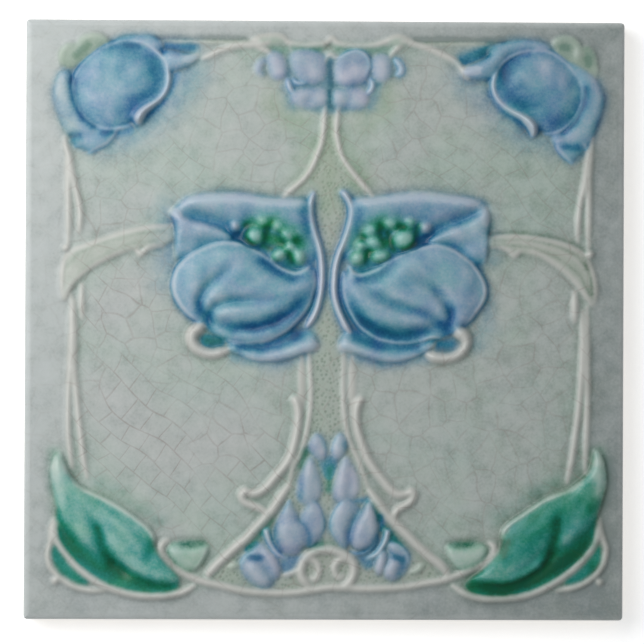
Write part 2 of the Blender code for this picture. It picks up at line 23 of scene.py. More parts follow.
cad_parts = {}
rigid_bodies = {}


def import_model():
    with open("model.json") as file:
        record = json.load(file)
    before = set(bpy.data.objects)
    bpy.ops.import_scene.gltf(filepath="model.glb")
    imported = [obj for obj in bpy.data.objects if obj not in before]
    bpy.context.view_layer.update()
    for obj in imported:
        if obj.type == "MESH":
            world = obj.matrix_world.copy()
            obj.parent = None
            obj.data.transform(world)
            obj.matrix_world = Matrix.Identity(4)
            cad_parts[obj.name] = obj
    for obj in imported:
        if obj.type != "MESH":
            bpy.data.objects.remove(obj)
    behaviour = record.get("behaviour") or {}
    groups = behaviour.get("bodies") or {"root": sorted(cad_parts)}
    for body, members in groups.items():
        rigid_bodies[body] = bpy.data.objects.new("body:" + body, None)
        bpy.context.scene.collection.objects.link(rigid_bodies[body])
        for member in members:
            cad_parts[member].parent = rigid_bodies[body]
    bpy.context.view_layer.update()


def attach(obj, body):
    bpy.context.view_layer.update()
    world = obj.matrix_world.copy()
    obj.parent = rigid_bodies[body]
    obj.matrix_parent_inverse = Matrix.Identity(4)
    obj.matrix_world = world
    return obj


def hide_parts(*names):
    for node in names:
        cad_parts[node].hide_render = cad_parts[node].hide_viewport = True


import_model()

# %% [markdown]
# The blank's own sizes come first. They are the tile maker's numbers: a six-inch square with its
# corners just rounded, a soft cushion round the face, and the pattern set a little right of the middle.

# %% Sizes of the blank, in millimetres
MM = 0.001  # Blender counts in metres
SIDE = 152.4
HALF = SIDE / 2
BODY = 9.5  # from the back to the plain face
CORNER_R = 1.0
CUSHION_W, CUSHION_D = 1.7, 0.9  # the rounded rim: how wide it is, and how far it falls
AXIS_X = 1.1  # the middle line of the pattern
CELL = 0.24  # one step of the net that the clay is pressed on
print("face of", round(SIDE / CELL), "cells a side")

# %% [markdown]
# Forms of the mould are working pieces. Each is made with ordinary modelling tools, kept in a list with
# the glaze that is brushed over it, and thrown away once the clay has been pressed. Four tools make all
# of them: a rolled stem, a cushion for petals and leaves, a seed, and a thumb mark.

# %% A tray for the forms
forms = []


def deselect():
    bpy.ops.object.select_all(action="DESELECT")


def keep(form, way, finish):
    """A form to raise has the name of its glaze as its finish; a thumb mark has a width and a depth."""
    forms.append((form, way, finish))
    return form


print("the tray is empty:", len(forms), "forms")

# %% [markdown]
# A stem is a roll of clay. A curve with a round bevel is the natural way: its points are the line that
# the modeller drew, and each may swell or taper. It becomes a mesh, and is then flattened until it
# stands at the right height. The white rolls are pressed flatter than the blue ones, and spread a
# little as they are.

# %% Roll a stem
FLATTER = {"white": 0.66, "lip": 0.66, "edge": 0.72}
BROADER = {"white": 1.2}


def stem(points, width, height, glaze="white", tips=(0.5, 0.5)):
    """A third number at a point makes the roll swell there; tips say how thick its two ends are."""
    width, height = BROADER.get(glaze, 1.0) * width, FLATTER.get(glaze, 1.0) * height
    deselect()
    bpy.ops.curve.primitive_bezier_curve_add(location=(0, 0, 0))
    form = bpy.context.object
    line = form.data.splines[0]
    line.bezier_points.add(len(points) - 2)
    last = len(points) - 1
    for k, (knot, p) in enumerate(zip(line.bezier_points, points)):
        knot.co = ((p[0] + AXIS_X) * MM, p[1] * MM, 0)
        knot.handle_left_type = knot.handle_right_type = "AUTO"
        swell = p[2] if len(p) > 2 else 1.0
        knot.radius = swell * (tips[0] if k == 0 else tips[1] if k == last else 1.0)
    form.data.bevel_depth = width / 2 * MM
    form.data.bevel_resolution = 3
    form.data.resolution_u = 6
    form.data.use_fill_caps = True
    bpy.ops.object.convert(target="MESH")
    form = bpy.context.object
    bpy.ops.transform.resize(value=(1, 1, 2 * height / width))
    bpy.ops.object.transform_apply(location=True, rotation=True, scale=True)
    return keep(form, "raise", glaze)


print("white rolls stand at", FLATTER["white"], "of the height they were drawn at")

# %% [markdown]
# Petals, bells and leaves are cushions. One face is given the petal's outline and extruded upwards in
# steps, and after each step its edge is drawn in towards a crest line, the ridge that the modeller's
# thumb would leave. Subdivision rounds the steps off. The steps make the character: a plump cushion is
# round all over, and a bowl stands up steeply at its rim and is nearly flat on top.

# %% Model a cushion
PLUMP = ((0.08, 0.5), (0.34, 0.36), (0.5, 0.14))  # each step: how far in, what share of the height
BOWL = ((0.05, 0.6), (0.28, 0.26), (0.5, 0.14))
ROOT = 0.8  # a cushion starts this far below the face, so that no gap shows under its edge


def nearest_on(p, line):
    best = Vector(line[0])
    for a, b in zip(line, line[1:]):
        a, b = Vector(a), Vector(b)
        t = min(max((p - a).dot(b - a) / (b - a).length_squared, 0.0), 1.0)
        if (a.lerp(b, t) - p).length < (best - p).length:
            best = a.lerp(b, t)
    return best


def cushion(outline, crest, height, glaze="blue", steps=PLUMP):
    deselect()
    bpy.ops.mesh.primitive_circle_add(vertices=len(outline), radius=10 * MM, fill_type="NGON",
                                      location=(0, 0, -ROOT * MM))
    form = bpy.context.object
    bpy.ops.object.transform_apply(location=True, rotation=True, scale=True)
    for v, (x, y) in zip(form.data.vertices, outline):
        v.co.x, v.co.y = (x + AXIS_X) * MM, y * MM
    ridge = [((x + AXIS_X) * MM, y * MM) for x, y in crest]
    bpy.ops.object.mode_set(mode="EDIT")
    bpy.ops.mesh.select_all(action="SELECT")
    for k, (pull, lift) in enumerate(steps):
        rise = (lift * height + (ROOT if k == 0 else 0.0)) * MM
        bpy.ops.mesh.extrude_region_move(TRANSFORM_OT_translate={"value": (0, 0, rise)})
        bm = bmesh.from_edit_mesh(form.data)
        for v in bm.verts:
            if v.select:
                v.co.xy = v.co.xy.lerp(nearest_on(v.co.xy, ridge), pull)
        bmesh.update_edit_mesh(form.data)
    bpy.ops.object.mode_set(mode="OBJECT")
    bpy.ops.object.modifier_add(type="SUBSURF")
    form.modifiers[-1].levels = form.modifiers[-1].render_levels = 2
    bpy.ops.object.modifier_apply(modifier=form.modifiers[-1].name)
    return keep(form, "raise", glaze)


print("a cushion rises in", len(PLUMP), "steps")

# %% [markdown]
# Seeds are small balls pressed halfway in: a sphere, squashed and turned. The turn is given its own
# centre, because without a window Blender can't take it from the view.

# %% Press a seed
def seed(x, y, half_x, half_y, top, turn=0.0, glaze="berry"):
    deselect()
    place = ((x + AXIS_X) * MM, y * MM, 0)
    bpy.ops.mesh.primitive_uv_sphere_add(segments=20, ring_count=12, radius=1 * MM, location=place)
    form = bpy.context.object
    bpy.ops.transform.resize(value=(half_x, half_y, top))
    bpy.ops.transform.rotate(value=-math.radians(turn), orient_axis="Z", center_override=place)
    bpy.ops.object.transform_apply(location=True, rotation=True, scale=True)
    return keep(form, "raise", glaze)


# %% [markdown]
# A thumb mark has no edge. It is only written down here, as a line, a width and a depth, and is taken
# from the pressed heights later with a soft fall to either side. Creases in the petals are made so.

# %% Note a thumb mark
def thumb(points, width, depth):
    keep(points, "thumb", (width, depth))


print("tools laid out, and", len(forms), "forms in the tray")

# %% [markdown]
# The frame round the panel is not ruled but drawn: thin rails that swell into humps beside the bells,
# arches that run down to the corner flowers, and stems in pairs at the sides. The two halves were
# modelled by hand and differ by a millimetre here and there, so each has its own line.

# %% Top rail and arches
stem([(-44, 70.9), (-34, 70.6), (-26, 70.5), (-22, 70.6), (-20, 70.9)], 0.9, 0.7, "rail")
stem([(-20.6, 70.4, .8), (-19.4, 71.2), (-17.8, 71.9), (-15.8, 72.2), (-13.3, 72.3), (-11.9, 71.7),
      (-11.1, 70.8), (-9, 70.2), (-4, 70.1), (-0.8, 70.7), (0.5, 71.9, .8), (1.4, 70.8),
      (4, 70.1), (11, 70.1), (13.4, 70.7), (15.6, 71.8), (17.2, 72.2), (19.4, 71.6), (21.7, 70.5)],
     1.15, 1.1, "white")
stem([(21, 70.5), (30, 70.4), (44, 70.5)], 0.9, 0.7, "rail")
stem([(-12.5, 71.3), (-15.6, 70.7), (-18.9, 69.9), (-23.3, 69.7), (-26.1, 69), (-28.3, 68.3),
      (-30.3, 67.3), (-32.6, 66.3)], 1.35, 1.35)
stem([(14, 70.8), (18, 71), (21.7, 70.3), (23.6, 69.7), (26.4, 68.7), (29.2, 67.4), (31.9, 66),
      (33.3, 64.4), (34.4, 62.4), (35.4, 61.3)], 1.35, 1.35)
stem([(-19.8, 69.7), (-17.2, 68.8), (-15.6, 68.1), (-15, 67.2)], 1.1, 1.3)
stem([(18.4, 70.1), (17.2, 69.3), (16.1, 68.3), (15.1, 66.9)], 1.1, 1.3)
print(len(forms), "forms after the rail")

# %% Side stems and their knobs
stem([(-67.5, 46.6), (-67, 43.6), (-66.1, 40.9), (-65.5, 37.8), (-64.7, 34.2), (-64, 30.9),
      (-63.4, 27.6), (-63.4, 24.2), (-63.6, 21.8)], 1.25, 1.4)
stem([(-66.9, 43), (-66.5, 38), (-66.4, 32), (-66.3, 26), (-66.4, 18)], 1.4, 1.2)
stem([(66.9, 47), (66.4, 42), (66.1, 36), (66.1, 26), (66, 17.4)], 1.3, 1.3)
stem([(65.6, 44), (64.9, 35), (63.8, 29.5), (63.4, 25.3), (63.3, 20)], 1.2, 1.4)
stem([(-62.8, 9.2), (-62.9, 6, 1.1), (-62.8, 3, 1.1), (-62.7, 0)], 1.2, 1.1)
stem([(62.6, 8), (62.6, 4.5, 1.3), (62.6, 1.5, 1.2), (62.5, -0.4)], 1.3, 1.1)
stem([(-65.5, 6.4), (-65.4, 0), (-65.8, -10), (-66.05, -17.4), (-66.2, -23), (-66.05, -30),
      (-65.6, -34), (-65.1, -38)], 1.25, 1.35)
stem([(-64.7, 5), (-64.7, -3.6), (-64.7, -11.9), (-64.1, -18.8), (-63.6, -24.4), (-62.9, -30),
      (-62.2, -35.5), (-61.2, -40.6)], 1.3, 1.4)
stem([(65.7, 4), (65.8, -6), (65.9, -18), (65.7, -28), (65.3, -39)], 1.35, 1.35)
stem([(64.5, 3), (64.5, -8), (63.9, -20), (62.7, -30), (61.9, -35.6), (60.7, -41.4)], 1.3, 1.4)
for x, y in ((-66.9, 18.1), (66.4, 17.0)):
    seed(x, y, 0.95, 0.95, 1.5, glaze="white")
print(len(forms), "forms after the sides")

# %% [markdown]
# A broad band carries each big flower from the frame. It is a flat cushion with three ribs laid along
# it, the way a grass blade is ribbed, and a small spur under it.

# %% Ribbed bands
cushion([(-67.4, 4.6), (-66, 7.6), (-62.4, 11.4), (-57.7, 14.5), (-53, 16.9), (-49.4, 17.6),
         (-46, 18.2), (-38.6, 18.8), (-38.6, 24.4), (-44.7, 23.9), (-50.2, 22.8), (-55.8, 21.4),
         (-61.3, 19.6), (-64.4, 18.9), (-66.4, 17.4), (-67.7, 13), (-67.9, 8.7)],
        [(-66, 9.5), (-62, 15), (-55, 18.6), (-46, 20.8), (-40, 21.4)], 0.75, "rail",
        ((0.12, 0.6), (0.3, 0.4)))
stem([(-67.2, 4.8), (-66, 7.9), (-62.6, 11.7), (-57.8, 14.9), (-53, 17.2), (-49.4, 18.1)],
     1.2, 1.25)
stem([(-66.9, 8), (-65.9, 11.6), (-62.6, 15), (-57.5, 17.8), (-53.8, 19.4), (-50.2, 20.5),
      (-46, 21.1), (-40, 21)], 1.2, 1.0)
stem([(-67.1, 15), (-65, 17.3), (-61.4, 18.7), (-57, 20.3), (-53, 21.7), (-49, 22.7), (-45, 23.5),
      (-39.6, 23.8)], 1.2, 1.0)
stem([(-67.7, 5), (-68, 9), (-67.8, 12.6), (-66.8, 16.8)], 1.1, 1.2)
stem([(-49.8, 18), (-48.7, 17.3), (-48, 16.4), (-47.2, 17.2), (-45.6, 18.3), (-42, 18.8)], 1.1, 1.3)
cushion([(67.3, 3.4), (65.8, 5.8), (61.6, 10.8), (56, 15), (50.5, 17.8), (44.7, 18.5),
         (38.6, 18.6), (38.6, 21.4), (46.3, 21.9), (52, 21.4), (57.4, 20.5), (62.4, 18.9),
         (65.2, 17.6), (66.8, 13.7), (67.9, 8)],
        [(66, 9), (61, 14.4), (54, 18.2), (45, 20.2), (40, 20)], 0.68, "rail",
        ((0.12, 0.6), (0.3, 0.4)))
stem([(67.2, 3.8), (65.6, 6.2), (61.8, 11), (56.3, 15.4), (52, 17.6), (48.8, 18.4)], 1.2, 1.25)
stem([(66.4, 9), (63.8, 14.4), (60.2, 17), (56, 18.4), (51.9, 19.7), (46, 20.2), (40, 19.8)],
     1.1, 1.0)
stem([(65.8, 16.4), (62.4, 18.4), (57.4, 20), (52, 21), (46.3, 21.4), (40, 21)], 1.0, 0.95)
stem([(67.6, 4.2), (67.9, 8), (67.2, 12), (65.8, 16)], 1.1, 1.2)
stem([(49.6, 18.2), (48.2, 17.6), (47.1, 16.6), (46.2, 17.6), (44.4, 18.6), (41, 18.9)], 1.1, 1.3)
print(len(forms), "forms after the bands")

# %% [markdown]
# The pedestal stands in the middle: two thin lines, a broad pale strip beside each, and heavier rods
# that start in a knob and end in a hook. Under the hooks two more rods spread out as a skirt.

# %% Pedestal, hooks and skirt
stem([(-1.25, 54.4), (-1.5, 50.2), (-1.7, 47.4), (-2.2, 44.7), (-3.2, 42), (-4.3, 39.3),
      (-5.9, 36.7), (-8.1, 34.5), (-10.3, 32.6), (-12, 31)], 1.15, 1.3)
stem([(2.2, 54.4), (1.75, 50.2), (1.7, 47.4), (2.2, 44.7), (3.1, 41.7), (5.2, 38.4), (7.5, 35.6),
      (9.4, 33.4), (11.2, 31.4)], 1.15, 1.3)
stem([(-5.1, -7.6), (-4.8, -12.3), (-4.55, -20.7), (-5.4, -27.6), (-6.2, -31.2), (-7.3, -34.3),
      (-9, -37.3), (-9.8, -41.7)], 0.95, 1.1)
stem([(3.8, -8), (3.7, -20.7), (4.1, -24.6), (4.7, -28.2), (5.8, -31.8), (7.7, -35.9),
      (10.2, -43)], 0.95, 1.1)
stem([(-6.9, -9, .8), (-6.9, -14), (-6.8, -19.6), (-6.9, -24, .6)], 1.6, 0.5)
stem([(5.9, -9, .8), (6, -14), (5.9, -19.6), (6, -24, .6)], 1.6, 0.5)
stem([(-9, -19.6, 1.1), (-8.3, -20.8), (-7.7, -23.4), (-7.8, -26.2), (-8.2, -29), (-8.8, -31.8),
      (-9.9, -35.1), (-11.5, -37.6), (-13.5, -39.9), (-16.2, -42.9), (-18.6, -44.1),
      (-21, -43.7, .9)], 1.9, 1.8, tips=(0.75, 0.9))
stem([(-20.4, -43.2, 1.2), (-22, -44.3, 1.1), (-21.6, -46), (-19.8, -47), (-17.6, -47.8),
      (-15.2, -49.2)], 1.6, 1.7, tips=(1.0, 0.8))
stem([(8.6, -19.5, 1.1), (7.6, -20.9), (6.95, -23.4), (7.05, -26.2), (7.6, -29), (8.6, -31.8),
      (9.9, -35.1), (11.9, -38.2), (13.8, -40.6), (15.9, -43.1), (18, -44.3), (20.6, -43.9, .9)],
     1.9, 1.8, tips=(0.75, 0.9))
stem([(20.2, -43.2, 1.2), (21.7, -44.1, 1.1), (21.1, -45.9), (19.2, -47.2), (17.4, -48.4),
      (16.6, -50.4)], 1.6, 1.7, tips=(1.0, 0.8))
stem([(-9.8, -41.7), (-12.3, -45.3), (-14, -48), (-16.2, -50.6), (-18.4, -53), (-20.9, -55.6),
      (-23.7, -58), (-26.5, -60.6), (-29, -63), (-30.8, -65.2)], 2.0, 1.7, tips=(0.5, 0.7))
stem([(10.2, -43), (12.4, -46.1), (14.7, -49.2), (17.4, -51.9), (20.2, -54.7), (23, -57.5),
      (25.8, -60), (28.6, -62.1), (30.6, -64.6)], 2.0, 1.7, tips=(0.5, 0.7))
print(len(forms), "forms after the pedestal")

# %% Bottom rod and scroll
stem([(-40.4, -55.9, .8), (-42.1, -57.1), (-42.4, -58.9), (-41.5, -60.6), (-39.7, -62.5),
      (-37.7, -63.9), (-34.6, -65.5), (-31.2, -66.7), (-27, -67.6), (-22.9, -68.6),
      (-19.6, -69.1), (-14.6, -69.4), (-10.4, -69.4), (-6.2, -69), (-2, -68.3), (1, -67.9),
      (5.5, -68.1), (9.1, -68.3), (14.7, -68.1), (20.2, -67.7), (24.4, -66.9), (29.8, -65.9),
      (32.2, -65), (35.8, -63.6), (38.8, -62.2), (40.8, -60.8), (42.2, -58.9), (42.2, -57.5),
      (40.8, -56.4, .8)], 1.5, 1.5)
stem([(-4.4, -67.9), (-5.9, -66.5), (-6.9, -64.6), (-6.5, -61.9), (-5.1, -59.8), (-2.9, -58.7),
      (0, -58.3), (2.3, -58.8), (4.5, -59.8), (6.1, -61.2), (6.6, -63.3), (6.1, -65.6),
      (4.6, -67.4), (2, -68.6)], 1.9, 1.6)
stem([(-6.2, -61.8), (-4.8, -60.9), (-3.2, -61.4), (-2.4, -63), (-2.5, -64.8), (-3.5, -66),
      (-4.4, -65)], 1.3, 1.1)
stem([(6, -62), (4.6, -60.8), (2.8, -61.1), (1.7, -62.6), (1.8, -64.4), (3, -65.5), (4.2, -64.8)],
     1.3, 1.1)
print(len(forms), "forms after the scroll")

# %% [markdown]
# The corner flowers are seen half from behind: a round bowl with a rolled white lip on the inner side,
# an outer petal wrapped round it, torn petals at the top, and small curls that fill the corner.

# %% Corner flower, left
cushion([(-66.9, 64.4), (-69.4, 62.2), (-70.4, 59.7), (-70.6, 56.6), (-70.1, 53.6), (-69.1, 51.3),
         (-68.1, 49.2), (-67.8, 46.6), (-64.6, 46), (-61.4, 46.4), (-58.4, 47.4), (-60.2, 49.4),
         (-63.9, 53), (-65.3, 57), (-65.4, 61)],
        [(-67.9, 61), (-67.4, 57.4), (-66.3, 52.4), (-63.8, 49.3), (-60.4, 47.8)], 1.2)
cushion([(-55.4, 70.2), (-54.4, 71.2), (-52.4, 71.8), (-49.4, 72.2), (-46, 72.3), (-44.4, 71.8),
         (-43, 70.6), (-41.8, 69), (-43.6, 68), (-48, 70), (-52, 70.4)],
        [(-53, 71.1), (-48, 71.4), (-44.2, 70.2)], 1.2)
cushion([(-42.4, 69), (-40, 68.5), (-37.5, 67.5), (-35, 67.3), (-33, 67.7), (-33.8, 66),
         (-35, 64.9), (-37.3, 63.8), (-39.4, 63.2), (-41.2, 62.8), (-42.4, 65.6)],
        [(-41.2, 66.8), (-37.8, 65.4), (-35, 66.1)], 1.5)
cushion([(-67.3, 46.6), (-65.5, 44.6), (-62.4, 43.4), (-60.4, 42.2), (-58.6, 43.6), (-56.4, 45),
         (-54.8, 46.8), (-54.2, 48.4), (-57.6, 48.8), (-62, 48.4)],
        [(-63.6, 45.8), (-59.6, 44.6), (-56.4, 46)], 1.0)
stem([(-61.3, 42.2), (-59.4, 43.4), (-56.4, 45), (-54.9, 46.8), (-54.1, 48.4)], 0.9, 1.4, "lip")
stem([(-64.8, 43.9), (-62.6, 44.8), (-61.3, 46.3)], 0.8, 1.4, "lip")
cushion([(-64.6, 70.1), (-63.6, 71.3), (-61.6, 72.3), (-59.1, 72.3), (-57, 71.2), (-56.6, 69.6),
         (-60.2, 67.4), (-63, 65.4), (-65.6, 62.9), (-68.4, 64.4), (-68.6, 66.9), (-68, 69.1),
         (-66.3, 70.3)], [(-61, 70.6), (-64.4, 68.2), (-67, 66.4)], 0.6, "curl")
stem([(-64.4, 70), (-62.8, 71.4), (-61, 72), (-58.8, 71.9), (-57.2, 71), (-56.4, 69.8)],
     1.3, 1.1, "curl")
stem([(-68.1, 64.6), (-68.4, 66.6), (-67.8, 68.5), (-66.2, 69.7), (-64.8, 69.4)], 1.4, 1.1, "curl")
cushion([(-66, 60), (-65.2, 62.5), (-63, 65.8), (-60.2, 67.8), (-57.2, 69.6), (-54.4, 70.6),
         (-51.3, 71.05), (-48.6, 70.8), (-46, 69.6), (-43, 67), (-41.4, 63.6), (-40.9, 60),
         (-42.7, 56.4), (-46.9, 53.6), (-49, 51.2), (-51.6, 49.2), (-54.9, 48.2), (-58.6, 47.9),
         (-61.2, 49.1), (-63.6, 51.6), (-65, 54.6), (-65.9, 57)],
        [(-58, 60), (-54, 60), (-50, 61)], 1.6, "blue", BOWL)
thumb([(-53, 68.8, .4), (-48.6, 67.6), (-45.6, 65.4), (-44, 61.6), (-45, 58), (-48.4, 55),
       (-51.6, 52.4, .6)], 3.6, 0.6)
thumb([(-60, 65.4, .4), (-63.4, 61), (-63, 56), (-60.4, 52), (-56, 50), (-52.6, 50.2, .4)], 2.2, 0.3)
stem([(-48.6, 70.6), (-52, 70.7), (-56.4, 69.6), (-60.8, 66.7), (-63.9, 63.4), (-65.1, 60),
      (-65, 56.6), (-63.7, 53.4), (-61, 50.3), (-57.4, 48.5), (-53.7, 48.5), (-50.6, 49.4)],
     0.8, 1.7, "lip", (0.8, 0.4))
stem([(-52, 70.6), (-49, 70.5), (-46.6, 69.7), (-44.5, 68.3), (-42.5, 66.2), (-41.4, 63.6),
      (-41.1, 60.8), (-41.7, 58.4), (-43, 56.4), (-44.9, 54.8, 1.3), (-46.6, 53.6, 1.7),
      (-48, 52.2, 2.2), (-48.6, 50.9, 2.2), (-48.3, 49.5, 1.5)], 1.2, 2.2, "lip", (0.4, 0.6))

# %% Corner flower, right
cushion([(58.6, 67.2), (62, 65.8), (64.4, 64.4), (66.4, 63.2), (67.9, 61.8), (69.4, 59.2),
         (70.1, 56.6), (69.8, 54.1), (68.9, 51.4), (67.9, 49.4), (67.4, 47), (66.6, 44.8),
         (64.6, 44.4), (61.4, 46), (58.4, 47.2), (60.8, 49.2), (63.2, 52.2), (64.6, 56),
         (64.2, 60), (62.4, 63.6)],
        [(66.2, 62), (67.5, 57.8), (66.8, 53.1), (64.4, 49.6), (61.8, 47.4)], 1.3)
cushion([(39.3, 69.4), (43.6, 70.8), (47.9, 71.6), (51.4, 71.6), (55, 70.6), (57.6, 69),
         (54, 69.2), (50.6, 69.4), (47, 68.3), (44, 66.4), (42.4, 65.4), (41, 66.8)],
        [(43, 69.1), (48, 70.3), (54, 70)], 1.2)
cushion([(33, 63.1), (34.3, 64.6), (37.4, 65.4), (40, 67), (42.4, 68.8), (45.4, 70), (46.4, 69),
         (44.2, 66.6), (42.6, 64), (41.6, 61.8), (40, 61.6), (37.1, 61.2), (34.3, 62.2)],
        [(34.6, 63.3), (37.9, 63.8), (40.7, 65.8), (44.2, 68.4)], 1.5)
cushion([(55.8, 47), (57.2, 44.6), (59.3, 42.6), (61.8, 40.2), (62.8, 41.8), (64.6, 43),
         (65.4, 44.8), (62.4, 46.8), (59, 48.2)], [(58.4, 46), (60.8, 43.4), (62.8, 43.8)], 1.0)
stem([(57.2, 46), (58.2, 43.9), (59.6, 42.3), (61.9, 40.1)], 0.9, 1.4, "lip")
stem([(63.2, 46.6), (64.8, 45.2), (65.4, 43.4)], 1.0, 1.4, "lip")
cushion([(56.4, 70.2), (57.4, 71.8), (59, 72.3), (61.6, 72.3), (63.2, 71.3), (63.8, 69.7),
         (65.7, 69.8), (67.4, 68.6), (67.9, 66.9), (68.1, 64.7), (67.9, 61.6), (65, 63.6),
         (61, 65.6), (57.6, 67.6)], [(59.6, 70.2), (63, 68), (66.4, 65.6)], 0.55, "curl")
stem([(56.9, 69.9), (57.6, 71.3), (59.3, 72), (61.3, 71.9), (62.8, 70.9), (63.4, 69.3),
      (63.2, 67.8, 1.2), (62.8, 66.4, 1.1)], 1.4, 1.2, "curl", (0.5, 0.8))
stem([(64, 69.6), (65.7, 69.5), (67, 68.1), (67.5, 66.2), (67.7, 64), (67.5, 62)], 1.1, 1.0, "curl")
cushion([(41.4, 61.2), (42.4, 62.8), (44.3, 65.5), (47.1, 67.5), (49.9, 68.5), (52.7, 69),
         (55.4, 68.8), (58.6, 67.2), (61.6, 64.5), (63.4, 61.9), (64.2, 59.1), (64.1, 56.3),
         (63.1, 53.2), (61.6, 50.8), (59.6, 48.9), (57.4, 47.8), (54.9, 47.6), (52.4, 49.2),
         (50.4, 51.2), (48.4, 52), (46.4, 53.1), (44.3, 54.5), (42.7, 56.4), (41.7, 58.8)],
        [(50, 60), (53, 59), (57, 58)], 1.6, "blue", BOWL)
thumb([(50, 67.4, .4), (46.8, 65.6), (44.6, 62.4), (44.2, 59.8), (45.8, 57), (49.6, 54.8),
       (52.6, 52, .7)], 3.4, 0.6)
thumb([(58, 65.8, .4), (61.4, 62), (62.2, 57.4), (61.2, 53), (58.2, 50), (55, 49.6, .4)], 2.4, 0.4)
stem([(42.2, 62.6), (44.1, 65.8), (47.6, 68), (51.4, 68.8), (55, 68.7), (58.6, 66.9),
      (61.6, 63.9), (63.6, 60.9), (64.2, 57.4), (63.1, 53.1), (60.6, 49.9), (57.8, 48.1),
      (54.3, 47.6)], 0.8, 1.7, "lip", (0.8, 0.4))
stem([(43.4, 64.8), (42.1, 62.6), (41.5, 60.6), (41.8, 58.2), (42.9, 56.1), (44.5, 54.5),
      (46.7, 53.1, 1.2), (48.8, 52, 1.6), (50.5, 50.7, 2.1), (51.6, 49.2, 2.2), (51.8, 47.8, 1.6),
      (51.5, 46.8, 1.0)], 1.2, 2.2, "lip", (0.4, 0.6))
print(len(forms), "forms after the corners")

# %% [markdown]
# Each big flower is a cup turned sideways. Behind is a hood, high along its upper edge and sloping down
# into the mouth, then a fold on the outer side, the seeds, and the full front petal with three long
# creases. A lower petal peeps out underneath, and a white curl ends it.

# %% Big flower, left: hood, fold and seeds
HOOD = ((0.03, 0.3), (0.3, 0.28), (0.5, 0.27), (0.6, 0.15))
FOLD = ((0.06, 0.42), (0.4, 0.4), (0.6, 0.18))
cushion([(-40.9, 27), (-38.4, 29.2), (-36.7, 30.7), (-34.8, 31.6), (-32, 32.2), (-28.9, 32.4),
         (-25.6, 32.5), (-22.6, 32.5), (-19.2, 32), (-15.9, 31.3), (-13.1, 31), (-9, 30.9),
         (-5.3, 31), (-4.9, 26.4), (-4.2, 22), (-3.2, 16), (-4.6, 12.6), (-9, 11.6), (-14, 14.4),
         (-19, 18), (-22.8, 20.1), (-26.4, 22.5), (-30.3, 24.3), (-35.9, 25.7)],
        [(-38.8, 28.4), (-35, 30.5), (-29, 31.3), (-22, 31.2), (-15, 30.1), (-6.4, 29.8)],
        2.1, "blue", HOOD)
thumb([(-38.2, 28.7, .8), (-35.3, 27.1), (-32.6, 26), (-29.7, 25.4), (-26.8, 24.4), (-24.4, 22.6),
       (-22.2, 20.6)], 2.4, 1.1)
thumb([(-20.6, 22.6), (-15, 21.2), (-9.4, 18), (-7.6, 16)], 5.4, 1.0)
thumb([(-6.4, 28, .6), (-5.9, 24), (-5.4, 20, .8)], 2.0, 0.6)
cushion([(-40.9, 27.6), (-38.8, 28.3), (-37.5, 26.7), (-35.9, 25.7), (-33.1, 25), (-30.3, 24.3),
         (-28.1, 23.4), (-26.4, 22.2), (-23.4, 20.4), (-27, 20), (-31.4, 18.9), (-34.4, 17.2),
         (-37.4, 15), (-38.9, 15.4), (-39.1, 19.2), (-38.9, 22.6), (-39.6, 25.2)],
        [(-39.8, 27.2), (-36.6, 25), (-31, 23.2), (-26.6, 21.5)], 2.0, "blue", FOLD)
thumb([(-35.4, 22.4, .5), (-36, 20.2), (-33.4, 19.8), (-28.6, 20.8, .6)], 2.6, 0.7)
stem([(-40.2, 27.4), (-39, 25), (-38.5, 22), (-38.6, 18.6), (-38.8, 15.6)], 1.0, 1.8, "blue")
SEEDS_LEFT = ((-19.1, 21.3, 2.7, 2.5, 0), (-17, 25, 2.1, 1.3, 10), (-13.4, 23.9, 2, 1.4, -25),
              (-11, 21.6, 2.1, 1.8, -35), (-12.8, 16.6, 2.3, 1.6, 20),
              (-10, 18.6, 1.6, 1.5, 0), (-7.7, 16.1, 1.7, 2.3, 12))
for x, y, rx, ry, turn in SEEDS_LEFT:
    seed(x, y, rx, ry, 2.3, turn)
seed(-24.1, 23.5, 1.3, 1.3, 2.0, glaze="bell")

# %% Big flower, left: front petal, lower petal, curl and outer rod
cushion([(-38.1, 14.2), (-36.4, 15.9), (-34.2, 17.3), (-31.4, 18.7), (-28.4, 19.5), (-25.3, 19.9),
         (-22.6, 19.5), (-20, 18.4), (-17.8, 17.3), (-15.6, 15.9), (-13.1, 13.9), (-10.9, 12.7),
         (-8.7, 12.1), (-6.7, 12.6), (-4.8, 13.9), (-3.6, 12.4), (-3.4, 9.6), (-4, 6.6), (-5, 3.8),
         (-6.4, 1.6), (-8.4, -0.7), (-10.9, -2.9), (-13.1, -4.3), (-15.9, -5.7), (-18.7, -6),
         (-22, -6.2), (-26, -5.6), (-30, -3.8), (-33.1, -0.9), (-34.8, 0.4), (-36.7, 2.1),
         (-38.4, 4.3), (-39.6, 6.6), (-40.1, 9), (-39.8, 10.8), (-38.9, 13.2)],
        [(-32, 8.5), (-27, 10), (-20, 9.4), (-13, 5), (-9, 5)], 2.5, "blue", BOWL)
thumb([(-25, 13, .2), (-27.6, 11.2, .5), (-29.9, 9.5, .8), (-32, 6.9), (-33, 4.6), (-32.9, 2.8),
       (-31.8, 0.8, .7)], 1.7, 1.5)
thumb([(-12, 4.8, .2), (-16.5, 4.7, .5), (-20.4, 4.9, .8), (-25.4, 4.6), (-28.6, 3.5),
       (-30.4, 1.7), (-30.8, -0.4), (-29.8, -2, .5)], 1.7, 1.5)
thumb([(-5.4, 7, .4), (-7.4, 4.2, .7), (-10.2, 1.7), (-14, -0.5), (-19, -1.9), (-24, -2.2),
       (-26.9, -1.3), (-28.8, -0.7, .7), (-29.4, -2.2, .3)], 2.5, 1.6)
